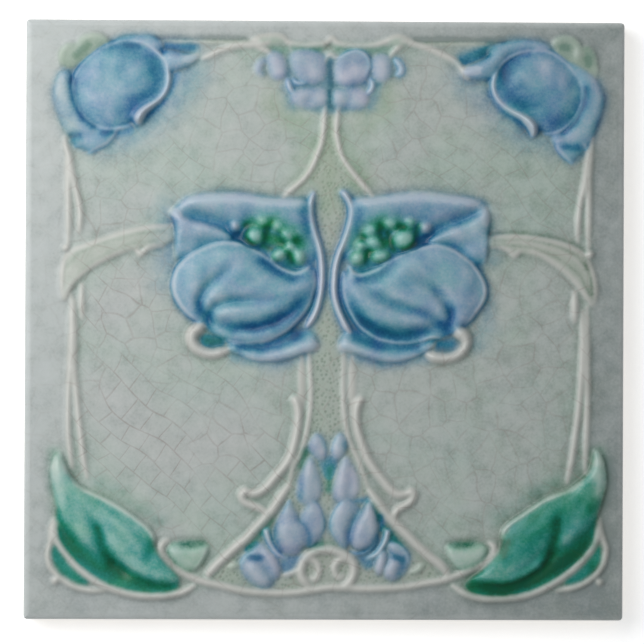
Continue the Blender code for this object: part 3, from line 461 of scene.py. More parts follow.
thumb([(-20.4, 16, .3), (-16.9, 14.4, .9), (-13.3, 12.3), (-9.7, 10.6), (-6.1, 10.8, .7)], 2.6, 0.8)
thumb([(-37.8, 12, .5), (-38, 8), (-36, 4, .6)], 2.2, 0.45)
stem([(-32.6, -0.6), (-34.8, 0.7), (-36.7, 2.4), (-38.3, 4.5), (-39.3, 6.8), (-39.7, 9),
      (-39.3, 10.9), (-38.5, 13), (-37, 14.8), (-35, 16.4), (-32.6, 17.7), (-30, 18.8),
      (-27.4, 19.4), (-25, 19.5), (-22.6, 19.1), (-20, 18), (-17.8, 16.9), (-15.6, 15.5),
      (-13.1, 13.6), (-10.9, 12.4), (-8.7, 11.9), (-6.7, 12.4), (-5, 13.7)], 0.9, 2.5, "lip")
stem([(-4, 13), (-3.7, 9.6), (-4.3, 6.6), (-5.3, 3.8), (-6.7, 1.6), (-8.7, -0.7), (-11.1, -2.8),
      (-13.3, -4.1), (-16, -5.3), (-18.8, -5.7), (-22.4, -5.9), (-26, -5.2)], 0.9, 2.1, "lip")
cushion([(-4.6, -2), (-3.7, -4), (-2.6, -5.9), (-2.8, -7.6), (-5, -8), (-7.6, -8.9), (-10.3, -9.9),
         (-13.1, -10.5), (-15.9, -10.6), (-18.7, -10.4), (-20.9, -9.7), (-22.6, -8.8),
         (-25.6, -7.8), (-26.4, -6), (-22, -6.2), (-17.3, -6.2), (-13.1, -5), (-9.8, -3)],
        [(-3.6, -6.8), (-8, -8.6), (-13, -9.8), (-18, -9.8), (-23.6, -8.2)], 1.7, "blue", FOLD)
stem([(-3.2, -7.1), (-5.4, -7.7), (-7.8, -8.5), (-10.5, -9.4), (-13.2, -10), (-15.9, -10.1),
      (-18.7, -9.9), (-21, -9.2), (-23.6, -7.9)], 1.0, 1.8, "lip")
thumb([(-6.4, -3.2), (-9, -4.9), (-12.8, -6.6), (-17.3, -7.6), (-22, -7.2)], 2.2, 0.9)
stem([(-31.8, -1), (-33.3, -2.2, 1.2), (-34.7, -3.4, 1.3), (-35, -5, 1.2), (-34.2, -6.8, 1.1),
      (-32.4, -8.1), (-29.8, -8.7), (-27.4, -8.3), (-25.4, -7.6)], 2.2, 2.3, "white", (0.6, 0.5))
stem([(-4, 32.6), (-4.7, 30.3), (-4.8, 28.1), (-4.5, 25.3), (-3.7, 22), (-2.6, 18.4), (-2.1, 15.6),
      (-1.9, 11.8), (-2.05, 8.2), (-2.6, 4.9), (-3.4, 2.1), (-4.5, -0.1), (-5.8, -1.9)], 1.6, 2.3,
     "edge")
print(len(forms), "forms after the left flower")

# %% Big flower, right: hood, fold and seeds
cushion([(40.6, 27), (40.2, 29), (38.8, 30.4), (37.5, 31), (34.6, 31.6), (31.9, 31.9), (29, 32.5),
         (26, 32.9), (22.4, 33), (19, 32.9), (15.8, 32.2), (12.6, 31.5), (9, 31.2), (5.4, 31.3),
         (5.4, 27), (4.6, 22.4), (3, 17), (4.4, 13), (8, 11.4), (13, 13.6), (19, 17.4),
         (23.6, 19.6), (26.4, 21.2), (28.3, 22.6), (31.4, 23.7), (34.4, 24.8), (37.2, 26.2)],
        [(38.8, 29.4), (36, 30.3), (30, 31.1), (24, 31.8), (17, 31.4), (7, 30.1)], 2.1, "blue", HOOD)
thumb([(38.6, 29.4, .8), (37.2, 27.5), (33.8, 26.1), (30, 24.7), (26.4, 23.2), (24.3, 21.2),
       (21.6, 19.2)], 2.4, 1.1)
thumb([(22, 23), (16, 21.2), (10.4, 18.6), (7.4, 16)], 5.8, 1.0)
thumb([(6.8, 29, .7), (6.8, 25), (6, 21, .8)], 2.4, 0.6)
cushion([(41, 27.6), (38.9, 28.5), (37.3, 26.5), (34.4, 25.1), (31.4, 23.9), (28.3, 22.7),
         (26.4, 21.2), (24, 19.7), (27, 19.8), (30, 19.4), (33, 18), (35.6, 16), (38, 13.4),
         (39.8, 15), (40, 20), (40.2, 24)],
        [(40, 27.2), (36, 24.4), (31.4, 22.6), (27, 20.8)], 2.0, "blue", FOLD)
thumb([(34.6, 22.4, .5), (36.4, 20), (33.4, 19.2), (29.4, 20.4, .6)], 2.6, 0.7)
stem([(39.6, 28.9), (40.2, 26.6), (39.9, 24), (39.7, 21.2), (39.6, 17.4), (39.2, 14.4)], 1.0, 1.9,
     "blue")
SEEDS_RIGHT = ((18.9, 20.7, 3.1, 2.9, 0), (15.4, 24.6, 2.5, 1.5, 5), (10.4, 22.8, 2.9, 1.6, 30),
               (11.4, 19.7, 2.4, 1.9, 0), (12.9, 16.3, 2.9, 1.6, 12), (7.1, 15.8, 2.1, 2.0, 0),
               (20.4, 25, 1.7, 1.2, -10), (8, 19, 1.5, 1.4, 0))
for x, y, rx, ry, turn in SEEDS_RIGHT:
    seed(x, y, rx, ry, 2.3, turn)
seed(24.4, 23.5, 1.7, 1.5, 2.1, glaze="bell")

# %% Big flower, right: front petal, lower petal, curl and outer rod
cushion([(4.7, 13.9), (5.6, 12.3), (7.8, 11.7), (10.3, 12.3), (12.5, 13.4), (15, 15), (18, 16.7),
         (20.6, 17.8), (23.6, 18.9), (26.7, 19.5), (29.4, 19.2), (31.9, 18.1), (34.4, 16.7),
         (36.4, 14.8), (38.3, 12.3), (39.6, 9.8), (40, 8.5), (40, 6.6), (38.9, 4), (37.2, 1.6),
         (35.6, -0.4), (32.4, -3.4), (28.6, -5.2), (23.6, -6.1), (18.6, -6), (14, -5.4),
         (10.4, -3.9), (7.4, -1.6), (5.3, 1.2), (4, 4.2), (3.3, 7.4), (3.2, 10.4)],
        [(11, 5), (16, 7), (22, 10), (27, 10), (32, 8)], 2.5, "blue", BOWL)
thumb([(21, 11.6, .2), (24, 9.8, .6), (27.1, 7.8, .9), (29.3, 5.3), (30.7, 2.6), (30.9, 0.2),
       (30.6, -1.8, .6)], 1.7, 1.5)
thumb([(9, 7.6, .2), (13.6, 5.3, .7), (16.4, 3.8), (20.7, 2.5), (25, 1.2), (27.9, -0.4),
       (29.5, -2.2, .7)], 1.7, 1.5)
thumb([(4.8, 5.4, .4), (6.2, 2.2, .8), (8.8, -0.5), (12.1, -2.6), (15.7, -3.4), (20, -3.6),
       (23.6, -2.9), (26.6, -2.2), (28.6, -3.2, .5)], 2.5, 1.6)
thumb([(18, 14.8, .3), (14.3, 12.2, .9), (10.6, 10.2), (6.8, 10.2, .8)], 2.6, 0.7)
thumb([(37.2, 13, .5), (38, 9), (37, 4.4, .6)], 2.6, 0.5)
stem([(34.4, -1.2), (35.9, 0.4), (37.4, 2.4), (38.9, 4.6), (39.6, 6.6), (39.6, 8.6), (39, 10.2),
      (37.8, 12.4), (36.1, 14.5), (34, 16.3), (31.8, 17.7), (29.4, 18.7), (26.8, 19), (23.8, 18.5),
      (20.7, 17.4), (18, 16.3), (15, 14.7), (12.5, 13.1), (10.3, 12.1), (7.9, 11.5), (6, 12.1),
      (5, 13.7)], 0.9, 2.5, "lip")
stem([(3.8, 12.4), (3.6, 9), (4.2, 5), (5.8, 1.4), (8, -1.6), (11, -3.9), (14.4, -5.2),
      (19, -5.7), (23, -5.3), (26.4, -4.2), (28.4, -4.4)], 0.9, 2.1, "lip")
cushion([(4.4, -2.2), (3.4, -4.2), (2.5, -5.8), (2.6, -7.5), (4.6, -7.8), (6.7, -8.2), (9.7, -9.4),
         (12.5, -10.2), (16.7, -10.6), (20, -10), (23.6, -8.6), (26.8, -6.6), (28, -5),
         (22, -6.1), (17, -6.2), (12.6, -5.2), (8.8, -3)],
        [(3.4, -6.8), (8, -8.4), (13, -9.8), (18, -9.8), (24.4, -7.4)], 1.7, "blue", FOLD)
stem([(2.9, -7), (6.7, -7.7), (9.7, -8.8), (12.5, -9.7), (16.7, -10.1), (20, -9.5), (23.6, -8),
      (26.6, -6)], 1.0, 1.8, "lip")
thumb([(6, -3.4), (9.6, -5.6), (13.1, -7.1), (17.3, -7.8), (22.4, -6.8)], 2.2, 0.9)
stem([(32.2, -2.6, 1.2), (33.8, -3.4, 1.3), (34.9, -5, 1.1), (34.6, -6.8), (33.2, -8.4),
      (31, -9.4), (28.8, -9.6), (26.4, -9.2), (24.6, -8.4)], 2.2, 2.3, "white", (0.9, 0.5))
stem([(2.8, 32.9), (3.9, 32), (4.7, 30.8), (5.4, 28.9), (5.4, 26.4), (4.7, 23.1), (3.6, 19.8),
      (2.5, 17), (1.7, 14.2), (1.25, 10.4), (1.25, 6.8), (1.9, 3.8), (3, 1), (4.4, -1.8),
      (5.6, -3.4)], 1.6, 2.3, "edge")
print(len(forms), "forms after the right flower")

# %% [markdown]
# The leaves wrap the lower corners. A leaf is two lobes with a deep valley below them, where the green
# glaze pools almost black. It lies on a low bed that reaches to the white rod, so the green runs right
# up to it.

# %% Leaf, left
BED = ((0.02, 0.7), (0.2, 0.3))
cushion([(-68.8, -45), (-69.6, -51), (-69.2, -55), (-67.4, -58.8), (-63.6, -63.2), (-58.6, -66.9),
         (-52.4, -69.3), (-44.7, -70.3), (-38, -69.4), (-36, -66), (-44, -62), (-54, -56),
         (-62, -48)], [(-66, -54), (-60, -61), (-52, -65), (-44, -67.4)], 0.55, "leaf", BED)
cushion([(-68.6, -32.3), (-70.2, -35.6), (-70.7, -38.3), (-70.5, -41.1), (-69.9, -44.4),
         (-69.5, -47.2), (-68.7, -49.6), (-67.3, -52.8), (-65.4, -55.6), (-62.6, -58.4),
         (-60, -59.8), (-57.6, -60.6), (-54, -62.2), (-50, -64.4), (-46, -66.6), (-42, -67.6),
         (-38.4, -67.2), (-36.4, -66.5), (-38.6, -64.2), (-40.5, -62.2), (-42.2, -60.3),
         (-43.6, -57.8), (-44.1, -55), (-45.2, -53.3), (-47.4, -51.4), (-50.2, -49.4),
         (-53, -47.5), (-56.3, -45.8), (-59.1, -44.4), (-61.9, -43.1), (-64.1, -41.7),
         (-65.8, -40), (-67.2, -36.9)],
        [(-68.8, -38), (-65.6, -45.4), (-60.6, -50.6), (-53, -55), (-46.6, -60), (-41, -65)], 2.3,
        "leaf")
stem([(-68.2, -33.6), (-67.1, -37.2), (-65.7, -40.2), (-64, -42), (-61.9, -43.4), (-59.1, -44.7),
      (-56.3, -46.1), (-53, -47.9), (-50.2, -49.8), (-47.5, -51.8), (-45.5, -53.6),
      (-44.5, -55.2), (-44, -57.6)], 0.9, 2.1, "leaflet")
thumb([(-61.4, -49.4, .3), (-59, -52.4, .8), (-58, -55), (-57, -58.4), (-54.8, -62), (-52, -63.8, .8)],
      2.6, 0.85)
thumb([(-49.6, -54.6, .4), (-46.4, -57.4), (-45, -60.6, .7)], 2.4, 0.5)
stem([(-66.2, -48.8), (-64.4, -52), (-62, -55.6), (-59.6, -58.6)], 2.6, 2.2, "leaf", (0.3, 0.3))
stem([(-56, -54), (-54.6, -57.6), (-51.8, -60.9), (-48, -63.6), (-43.4, -65.8), (-39, -66.2)],
     2.2, 2.2, "leaf", (0.3, 0.3))
stem([(-69.1, -51.4), (-69.3, -54.7), (-68.6, -56.7), (-67.4, -58.6), (-65.8, -60.6),
      (-63.6, -63), (-61.1, -65), (-58.6, -66.7), (-55.8, -68.1), (-52.4, -69.2), (-48.8, -70),
      (-44.7, -70.3), (-40.5, -70), (-36.3, -69), (-33.6, -67.4)], 1.5, 1.9)
stem([(-69.6, -50.4), (-70.4, -53.6), (-70.5, -56.7), (-71, -58.6), (-71.1, -60.6), (-70.5, -62.8),
      (-69.3, -64.4), (-67.4, -66.1), (-65.2, -67.5), (-62.4, -68.5), (-59.7, -68.9),
      (-56.4, -69)], 1.2, 1.7)
cushion([(-69.9, -56.4), (-70.6, -60.6), (-68.8, -64.2), (-65, -67), (-59.4, -68.3),
         (-61.4, -65.2), (-65.4, -61.4), (-68, -57.6)], [(-69, -60), (-66, -64), (-62.6, -66.6)],
        0.35, "leaf", BED)
seed(-69.3, -66.4, 1.0, 1.0, 1.2, glaze="white")
cushion([(-41, -57.4), (-39.6, -56.2), (-37.6, -55.8), (-34.6, -55.7), (-31.6, -56), (-30.2, -56.8),
         (-30.5, -59.4), (-31.8, -61.6), (-33, -63.4), (-34.8, -64.6), (-37.6, -63.6), (-40, -61),
         (-41.4, -58.8)],
        [(-38, -60), (-34.6, -60.6), (-32.4, -59.2)], 1.4, "leaflet", FOLD)
stem([(-30.6, -56.9), (-30.9, -58.6), (-31.8, -60.6), (-33, -62.4), (-34.4, -63.8)], 0.9, 1.5,
     "leaflet")
thumb([(-38.6, -56.8, .6), (-35, -57.1), (-31.6, -57, .5)], 1.9, 0.8)

# %% Leaf, right
cushion([(68.4, -45), (69.2, -51), (68.6, -55), (66, -59.6), (60.8, -64.6), (53.8, -68.8),
         (44.7, -70.7), (37, -70), (33, -66.8), (38, -65), (46, -62), (55, -55), (62, -48)],
        [(66, -54), (60, -61), (52, -65.6), (42, -68)], 0.55, "leaf", BED)
cushion([(67.6, -31), (69.7, -34.2), (70.6, -37.5), (71.05, -40.3), (70.8, -43), (69.9, -46.4),
         (69, -49.4), (67.4, -52.6), (65, -55.2), (62.2, -57.2), (59.6, -58.2), (57, -59.4),
         (53.7, -62), (50, -65), (46, -66.6), (42, -67), (37.5, -66.2), (34.4, -66.8),
         (37, -65.2), (39.4, -62.8), (42, -60), (43.8, -57.4), (44.2, -54.4), (46.3, -51.1),
         (49.1, -49.2), (52.2, -47.2), (55.2, -45.3), (58.6, -43.9), (61.3, -42.8),
         (64.1, -40.8), (66.9, -38.3), (68, -35.6)],
        [(69.4, -37), (66.6, -44.6), (61, -50.4), (54, -55.4), (47, -60), (41, -64.6)], 2.3, "leaf")
stem([(67.9, -32.4), (67.8, -35.8), (66.8, -38.6), (64.2, -41.1), (61.3, -43.2), (58.6, -44.3),
      (55.2, -45.7), (52.3, -47.6), (49.3, -49.6), (46.6, -51.5), (44.8, -53.4), (44.3, -56)],
     0.9, 2.1, "leaflet")
thumb([(59.4, -49, .3), (58.4, -52, .8), (57.6, -55.4), (56, -59), (53, -62.6), (50, -64.8, .8)],
      2.6, 0.85)
thumb([(47.4, -55, .4), (45.4, -58, .8), (44, -60.6, .6)], 2.4, 0.5)
stem([(65.6, -47.6), (64.4, -51), (62.2, -54.2), (59.8, -56.8)], 2.6, 2.2, "leaf", (0.3, 0.3))
stem([(57, -56.4), (54.6, -60.4), (51.4, -63.4), (47, -65.4), (43, -66.2), (37.8, -65.9)],
     2.0, 2.2, "leaf", (0.3, 0.3))
stem([(68.7, -50.6), (68.6, -54.4), (67.7, -56.9), (66, -59.4), (63.8, -61.9), (60.8, -64.4),
      (57.4, -66.7), (53.8, -68.6), (49.7, -70), (44.7, -70.6), (39.1, -70.6), (34.9, -69.4),
      (31.4, -67.2)], 1.5, 1.9)
stem([(69.2, -50), (70.1, -55.6), (70.8, -57.8), (70.5, -60.3), (69.6, -62.8), (67.7, -65),
      (64.9, -66.9), (61.9, -68), (58, -68.7)], 1.2, 1.7)
cushion([(69.6, -56), (70.2, -60.4), (68.2, -63.9), (64.4, -66.7), (58.6, -67.9), (61, -65),
         (65, -61), (67.8, -57)], [(68.6, -59.6), (65.6, -63.6), (62.4, -66)], 0.35, "leaf", BED)
seed(69.1, -66.4, 1.0, 1.0, 1.2, glaze="white")
cushion([(41, -57.6), (39.2, -56.2), (37, -55.8), (33.6, -55.8), (31, -56.2), (29.7, -57),
         (30.4, -59.6), (31.6, -61.8), (33, -64), (36.6, -63.6), (39.4, -61.4), (40.8, -59.4)],
        [(37.4, -60), (34.2, -60.6), (32, -59)], 1.4, "leaflet", FOLD)
stem([(30.1, -57), (30.7, -58.8), (31.6, -60.6), (32.8, -62.6)], 0.9, 1.5, "leaflet")
thumb([(38, -56.9, .6), (34.8, -57), (31, -57.2, .5)], 1.9, 0.8)
print(len(forms), "forms after the leaves")

# %% [markdown]
# Harebells hang under the top rail and fall down the skirt of the pedestal. They overlap like shingles:
# the back petals go in first, then the round fronts, then the thin bright lips.

# %% Bells under the rail
cushion([(-19.4, 70.6), (-17.6, 71.7), (-14.6, 72.1), (-12.4, 71.6), (-11.4, 70.6), (-13, 70),
         (-16, 69.8)], [(-17, 70.9), (-13.4, 71)], 0.8, "curl", BED)
cushion([(13.4, 70.4), (15.6, 71.7), (17.6, 72.1), (20, 71), (21.6, 70.2), (18, 69.9)],
        [(15.6, 70.9), (19, 70.8)], 0.8, "curl", BED)
for outline, crest in (
        ([(-15.8, 68.6), (-13.6, 68.4), (-11.6, 67.2), (-10.7, 64), (-11.4, 61.4), (-13.8, 60.6),
          (-15.6, 62.4), (-16.2, 66)], [(-14.2, 67), (-13, 63)]),
        ([(-10, 68.6), (-6, 69), (-3, 68.6), (-1.1, 66.8), (-0.6, 64), (-1.3, 61), (-4, 59.4),
          (-6.8, 60), (-9.2, 62.4), (-10.4, 66)], [(-6.6, 65), (-4, 63.6)]),
        ([(-10, 58.2), (-7, 59.2), (-4, 59), (-1, 59.4), (-0.4, 57), (-0.6, 54.3), (-4, 53.9),
          (-6.8, 53.7), (-9.4, 54.6), (-10.5, 56.5)], [(-7, 56.6), (-2.4, 56.8)]),
        ([(1.1, 65.8), (2.6, 67.8), (5, 68.8), (7.6, 68.9), (9.8, 67.8), (10.7, 65.5), (10.3, 63),
          (9, 60.6), (6.6, 59.9), (5, 59.3), (2.6, 59.4), (1.1, 60.6)], [(3.6, 62.6), (6.4, 64)]),
        ([(0.5, 59), (3, 58.8), (5, 59.3), (7.6, 59.4), (10, 58), (9.9, 55), (8.4, 53.6),
          (6, 53.5), (4.4, 54.2), (2.4, 53.9), (0.5, 54.5)], [(2.2, 56.6), (7, 56.6)]),
        ([(10.5, 67), (12.5, 68.1), (15, 67.6), (15.8, 65), (15.6, 62), (13.6, 60.1), (11.2, 61),
          (10.5, 64)], [(13, 65), (13.3, 62.8)])):
    cushion(outline, crest, 0.75, "bell", BOWL)
stem([(-16.6, 66.2), (-17.8, 65.2), (-18.3, 63.6), (-17.3, 62)], 1.8, 0.9, "bell")
stem([(16.3, 66.6), (17.3, 65.6), (18.2, 64.2), (18, 63), (16.8, 62.4)], 1.6, 1.0, "lip")
stem([(-10.8, 61.4), (-10.5, 59.8), (-9.9, 58.4), (-8.8, 57.6)], 1.3, 1.5, "lip")
stem([(10.3, 61.6), (10.8, 60), (10.4, 58.6), (9, 57.4)], 1.3, 1.5, "lip")
stem([(-9.6, 61.6), (-8.6, 60.4), (-7.2, 60.2), (-5.6, 60.6)], 0.9, 1.3, "lip")
stem([(1.2, 66.4), (3, 67.1), (5, 68.1), (7.5, 68.3), (9.1, 67.3), (9.9, 65.5), (9.6, 63.4),
      (8.4, 61.6)], 0.8, 1.8, "lip")
stem([(-1.4, 65.4), (-0.8, 66.8), (0.2, 67.6), (1.2, 66.8), (3.4, 67.3)], 0.8, 1.2)
thumb([(-6.2, 54.6, .6), (-5.2, 56)], 1.3, 0.5)
thumb([(4.3, 54.6), (4.5, 56.2, .6)], 1.4, 0.6)

# %% Bells in the skirt, left
cushion([(-3.2, -28.6), (-4.2, -29.8), (-5.2, -31.2), (-5.2, -33), (-3.8, -34.8), (-2.2, -36),
         (-0.9, -35.9), (-0.7, -33.4), (-1.5, -30.4), (-2.9, -28.6)],
        [(-3, -30.6), (-2, -33.4)], 1.0, "bell")
stem([(-3, -28.8), (-1.8, -30.6), (-1, -33), (-1, -35.4)], 0.7, 1.4, "lip", (0.5, 0.3))
cushion([(-4.6, -34.4), (-6.4, -37.4), (-7.9, -40.6), (-8.5, -44), (-8, -46.8), (-5.2, -47.4),
         (-2.8, -46.6), (-1.5, -44.4), (-1.6, -41), (-2.6, -37.8), (-4.3, -34.4)],
        [(-4.6, -37), (-5, -44)], 1.1, "bell")
thumb([(-6.2, -38, .4), (-6.9, -41.4), (-6.7, -45.6, .6)], 1.1, 0.5)
thumb([(-4, -38, .3), (-3.6, -42, .8), (-3.8, -46, .6)], 0.9, 0.3)
cushion([(-4.7, -45), (-2.9, -46.6), (-1.6, -49), (-1.1, -52), (-1.8, -55), (-3.8, -57.6),
         (-6, -58.4), (-7.6, -54), (-7.6, -50), (-5.6, -47.4)],
        [(-3.4, -48), (-2.6, -52), (-3.6, -55.6)], 1.1, "bell", FOLD)
cushion([(-9.9, -45.4), (-11.4, -48.4), (-13, -50.6), (-14.3, -53.6), (-13.8, -57), (-12, -59.2),
         (-9, -60), (-6.2, -59.2), (-6.6, -55), (-7.4, -49), (-9, -48.2), (-9.6, -45.4)],
        [(-10, -48), (-11.6, -52), (-12, -56), (-9, -58.6)], 1.0, "bell", FOLD)
cushion([(-13.2, -54.4), (-12.6, -51.8), (-10.9, -50.4), (-8.8, -50.2), (-6.8, -51.2), (-5.4, -53.6),
         (-5.1, -56.2), (-6.1, -58.2), (-8.2, -59), (-10.8, -58.7), (-12.6, -57)],
        [(-10.2, -54.2), (-8, -54.6)], 1.7, "bell", BOWL)
stem([(-4.8, -45.4), (-3, -47), (-1.8, -49.6), (-1.5, -52.6), (-2.3, -55.6)], 0.8, 1.6, "lip")
stem([(-9.8, -45.6), (-10.9, -48.4), (-12.8, -51)], 0.7, 1.4, "lip", (0.5, 0.3))
stem([(-15.9, -53.2, 1.5), (-15.4, -55, 1.2), (-14.4, -57.4), (-12.6, -59.6), (-10.4, -60.8)],
     1.1, 1.7, "lip", (0.8, 0.3))
cushion([(-16.5, -56.4), (-18.8, -58.4), (-20.8, -59.4), (-21.9, -61), (-22.2, -63.4), (-21, -65.8),
         (-18.6, -67.6), (-15.4, -68.4), (-13, -67.4), (-13.6, -63), (-15.4, -59.4), (-16.2, -56.4)],
        [(-19.6, -60.4), (-20.6, -63.4), (-18, -66.6)], 0.8, "bell", FOLD)
cushion([(-20.9, -62.4), (-20, -61), (-18.4, -60.9), (-16.8, -62), (-15.2, -63.8), (-14, -66),
         (-14.2, -67.8), (-17, -67.6), (-19.4, -66.4), (-20.9, -64.4)],
        [(-19, -62.8), (-16.4, -65.6)], 1.5, "bell", BOWL)
cushion([(-16.4, -57.2), (-14.6, -58.8), (-12.8, -60.8), (-11.8, -63.4), (-12.4, -66), (-13.8, -66.6),
         (-14.8, -63.8), (-16, -61.6), (-17, -60), (-16.8, -57.4)],
        [(-15.6, -59.8), (-13.6, -62.8)], 1.4, "bell", PLUMP)
stem([(-16.9, -58.2), (-18.8, -58.9), (-20.6, -59.8), (-21.8, -61.6), (-22, -63.4)], 0.8, 1.3, "lip")
stem([(-25.4, -63.4), (-24.2, -62.6), (-22.6, -62.1)], 1.1, 1.2, "curl", (0.5, 0.7))

# %% Bells in the skirt, right
cushion([(2.9, -28.6), (1.6, -30.4), (0.9, -33), (1.4, -35.9), (2.6, -35.6), (4.4, -34), (5, -32.2),
         (4.6, -30.4), (3.2, -28.6)], [(2.8, -30.6), (2.2, -33.6)], 1.0, "bell")
stem([(3, -28.8), (1.9, -30.6), (1.2, -33), (1.5, -35.2)], 0.7, 1.4, "lip", (0.5, 0.3))
cushion([(4.4, -34.2), (2.8, -37), (1.6, -40.4), (0.8, -44.4), (2, -46.8), (4.6, -46), (7.6, -45.4),
         (8.3, -42.8), (7.8, -39.8), (6.4, -36.8), (4.8, -34.2)],
        [(4, -37), (3.2, -44)], 1.1, "bell")
thumb([(5.4, -37.4, .4), (5.6, -41.4), (5, -45.4, .8)], 1.1, 0.55)
thumb([(3, -39, .3), (2.4, -43, .8), (2.2, -46, .5)], 0.9, 0.3)
cushion([(4.9, -44.8), (2.8, -46.6), (1, -49.2), (0.5, -52), (1.2, -55), (3, -57.4), (5.2, -58.6),
         (6.4, -55), (7.4, -50.6), (8.8, -48), (7.2, -46.6)],
        [(3.4, -48), (2.2, -52), (3, -55.4)], 1.2, "bell", FOLD)
cushion([(10.7, -45.5), (12, -49), (12.9, -52), (12.7, -55), (11.3, -57.6), (8.6, -58.7), (6, -58),
         (5.2, -55.6), (5.7, -52.6), (7, -50), (8.8, -47.6), (10.4, -45.5)],
        [(10.2, -48.6), (10.4, -52.6), (8.2, -55.6)], 1.7, "bell", BOWL)
thumb([(8.9, -48, .5), (6.5, -51), (5.4, -54.4), (5.4, -57.4, .7)], 1.3, 0.9)
stem([(5, -45.2), (3, -47), (1.4, -49.6), (0.9, -52.4), (1.6, -55)], 0.8, 1.6, "lip")
stem([(12.6, -53.4), (12, -56.4), (10, -58.6), (7.6, -59.3), (5.4, -58.6)], 0.7, 1.5, "lip", (0.3, 0.3))
stem([(15.1, -53.2, 1.5), (14.8, -55.2, 1.2), (13.6, -57.8), (11.8, -59.8), (9.6, -60.6)],
     1.1, 1.7, "lip", (0.8, 0.3))
cushion([(15.4, -56.4), (17.2, -56.8), (19, -57.8), (20.3, -59.8), (20.7, -62), (19.6, -64.4),
         (17.4, -66), (15, -66.4), (15.2, -63), (15.4, -59)],
        [(16.4, -58), (19, -59.6), (19.4, -62.4), (17.2, -65)], 1.2, "bell", FOLD)
cushion([(14.2, -64.6), (14.4, -62.6), (15.6, -61.2), (17.4, -60.7), (18.3, -62), (17.6, -63.8),
         (16, -65.4), (14.6, -65.8)], [(16.6, -62), (15.4, -64.4)], 1.4, "bell")
cushion([(14.3, -58), (13, -59.6), (12, -61.6), (11.9, -63.6), (12.9, -65.4), (13.9, -64),
         (14.8, -61.6), (15.2, -59.4)], [(13.8, -60.2), (13, -62.8)], 1.4, "bell")
thumb([(15.6, -59, .7), (17.6, -59.8), (19.1, -61.2), (18.9, -63), (17.6, -64.6, .6)], 1.3, 0.9)
stem([(15.6, -56.7), (17.2, -57), (19, -58.2), (20.3, -60.2), (20.5, -62)], 0.7, 1.5, "lip", (0.5, 0.3))
stem([(20.8, -64.2), (22.4, -63.6), (23.6, -62.8), (24, -61.9)], 1.1, 1.2, "curl", (0.4, 0.7))
stem([(-12.2, -64.9), (-9.8, -64.6), (-8, -63.6), (-6.6, -62)], 0.9, 1.2)
print(len(forms), "forms in the mould")

# %% [markdown]
# Now the clay goes under the mould. The face is a net of points a quarter of a millimetre apart, and a
# straight ray is dropped from over each point: where it meets a form, the clay takes that height. Thumb
# marks are taken away from what already stands. A height that is known for every point makes all that
# follows simple, and no form hangs over its neighbour, just as none can in a real press.

# %% Press the clay
count = round(SIDE / CELL)
xs = ys = np.linspace(-HALF, HALF, count + 1)
grid_x, grid_y = np.meshgrid(xs, ys)
relief = np.zeros_like(grid_x)
GLAZES = ("rail", "moss", "white", "bell", "curl", "blue", "edge", "lip", "leaflet", "leaf", "berry")
wash = {name: np.zeros_like(relief) for name in GLAZES}
SKIM = 0.02  # what stands less than this over the face leaves no mark
DEEPEST = -0.2  # a thumb mark goes no further below the plain face
RAY_TOP = 10.0  # rays start here, over every form


def drop_rays(form):
    """Heights of a form over the net, in millimetres, within its own window."""
    box = np.array([v.co[:] for v in form.data.vertices]) / MM
    i0, i1 = np.searchsorted(xs, (box[:, 0].min(), box[:, 0].max()))
    j0, j1 = np.searchsorted(ys, (box[:, 1].min(), box[:, 1].max()))
    tree = BVHTree.FromPolygons([v.co for v in form.data.vertices],
                                [p.vertices for p in form.data.polygons])
    down, got = Vector((0, 0, -1)), np.full((j1 - j0, i1 - i0), -1.0)
    for j in range(j0, j1):
        y = ys[j] * MM
        for i in range(i0, i1):
            hit = tree.ray_cast(Vector((xs[i] * MM, y, RAY_TOP * MM)), down)[0]
            if hit is not None:
                got[j - j0, i - i0] = hit.z / MM
    return (slice(j0, j1), slice(i0, i1)), got


def stroke_shape(points, width):
    """One on the line, falling softly to nothing at the edge; a third number weakens a point."""
    line = [(p[0] + AXIS_X, p[1], p[2] if len(p) > 2 else 1.0) for p in points]
    far = 2.2 * width
    i0, i1 = np.searchsorted(xs, (min(p[0] for p in line) - far, max(p[0] for p in line) + far))
    j0, j1 = np.searchsorted(ys, (min(p[1] for p in line) - far, max(p[1] for p in line) + far))
    window = (slice(j0, j1), slice(i0, i1))
    gx, gy = grid_x[window], grid_y[window]
    shape = np.zeros_like(gx)
    for (ax, ay, a), (bx, by, b) in zip(line, line[1:] or line):
        dx, dy = bx - ax, by - ay
        t = np.clip(((gx - ax) * dx + (gy - ay) * dy) / (dx * dx + dy * dy + 1e-9), 0, 1)
        off = (gx - ax - t * dx) ** 2 + (gy - ay - t * dy) ** 2
        shape = np.maximum(shape, (a + t * (b - a)) * np.exp(-off / (0.5 * width * width)))
    return window, shape


for form, way, finish in forms:
    if way == "thumb":
        width, deep = finish
        window, shape = stroke_shape(form, width)
        stands = relief[window]
        relief[window] = np.maximum(stands - deep * shape, np.minimum(stands, DEEPEST))
        continue
    window, got = drop_rays(form)
    touched = got > SKIM
    relief[window] = np.where(touched, np.maximum(relief[window], got), relief[window])
    on_top = touched & (got >= relief[window] - SKIM)
    for name in GLAZES:
        wash[name][window] = np.where(on_top, 1.0 if name == finish else 0.0, wash[name][window])
print("highest form %.2f mm, lowest hollow %.2f mm" % (relief.max(), relief.min()))

# %% Clear the mould away
deselect()
for form, way, finish in forms:
    if way == "raise":
        form.select_set(True)
bpy.ops.object.delete()

# %% [markdown]
# Glaze is a coat of melted glass. It rounds every edge and fills every corner, more under the thick
# colours than over the thin white, so the pressed heights are softened with small blurs. The same
# tool at larger radii says where the glaze gathers: a spot that lies lower than its surroundings holds
# more of it, and a ridge holds less.

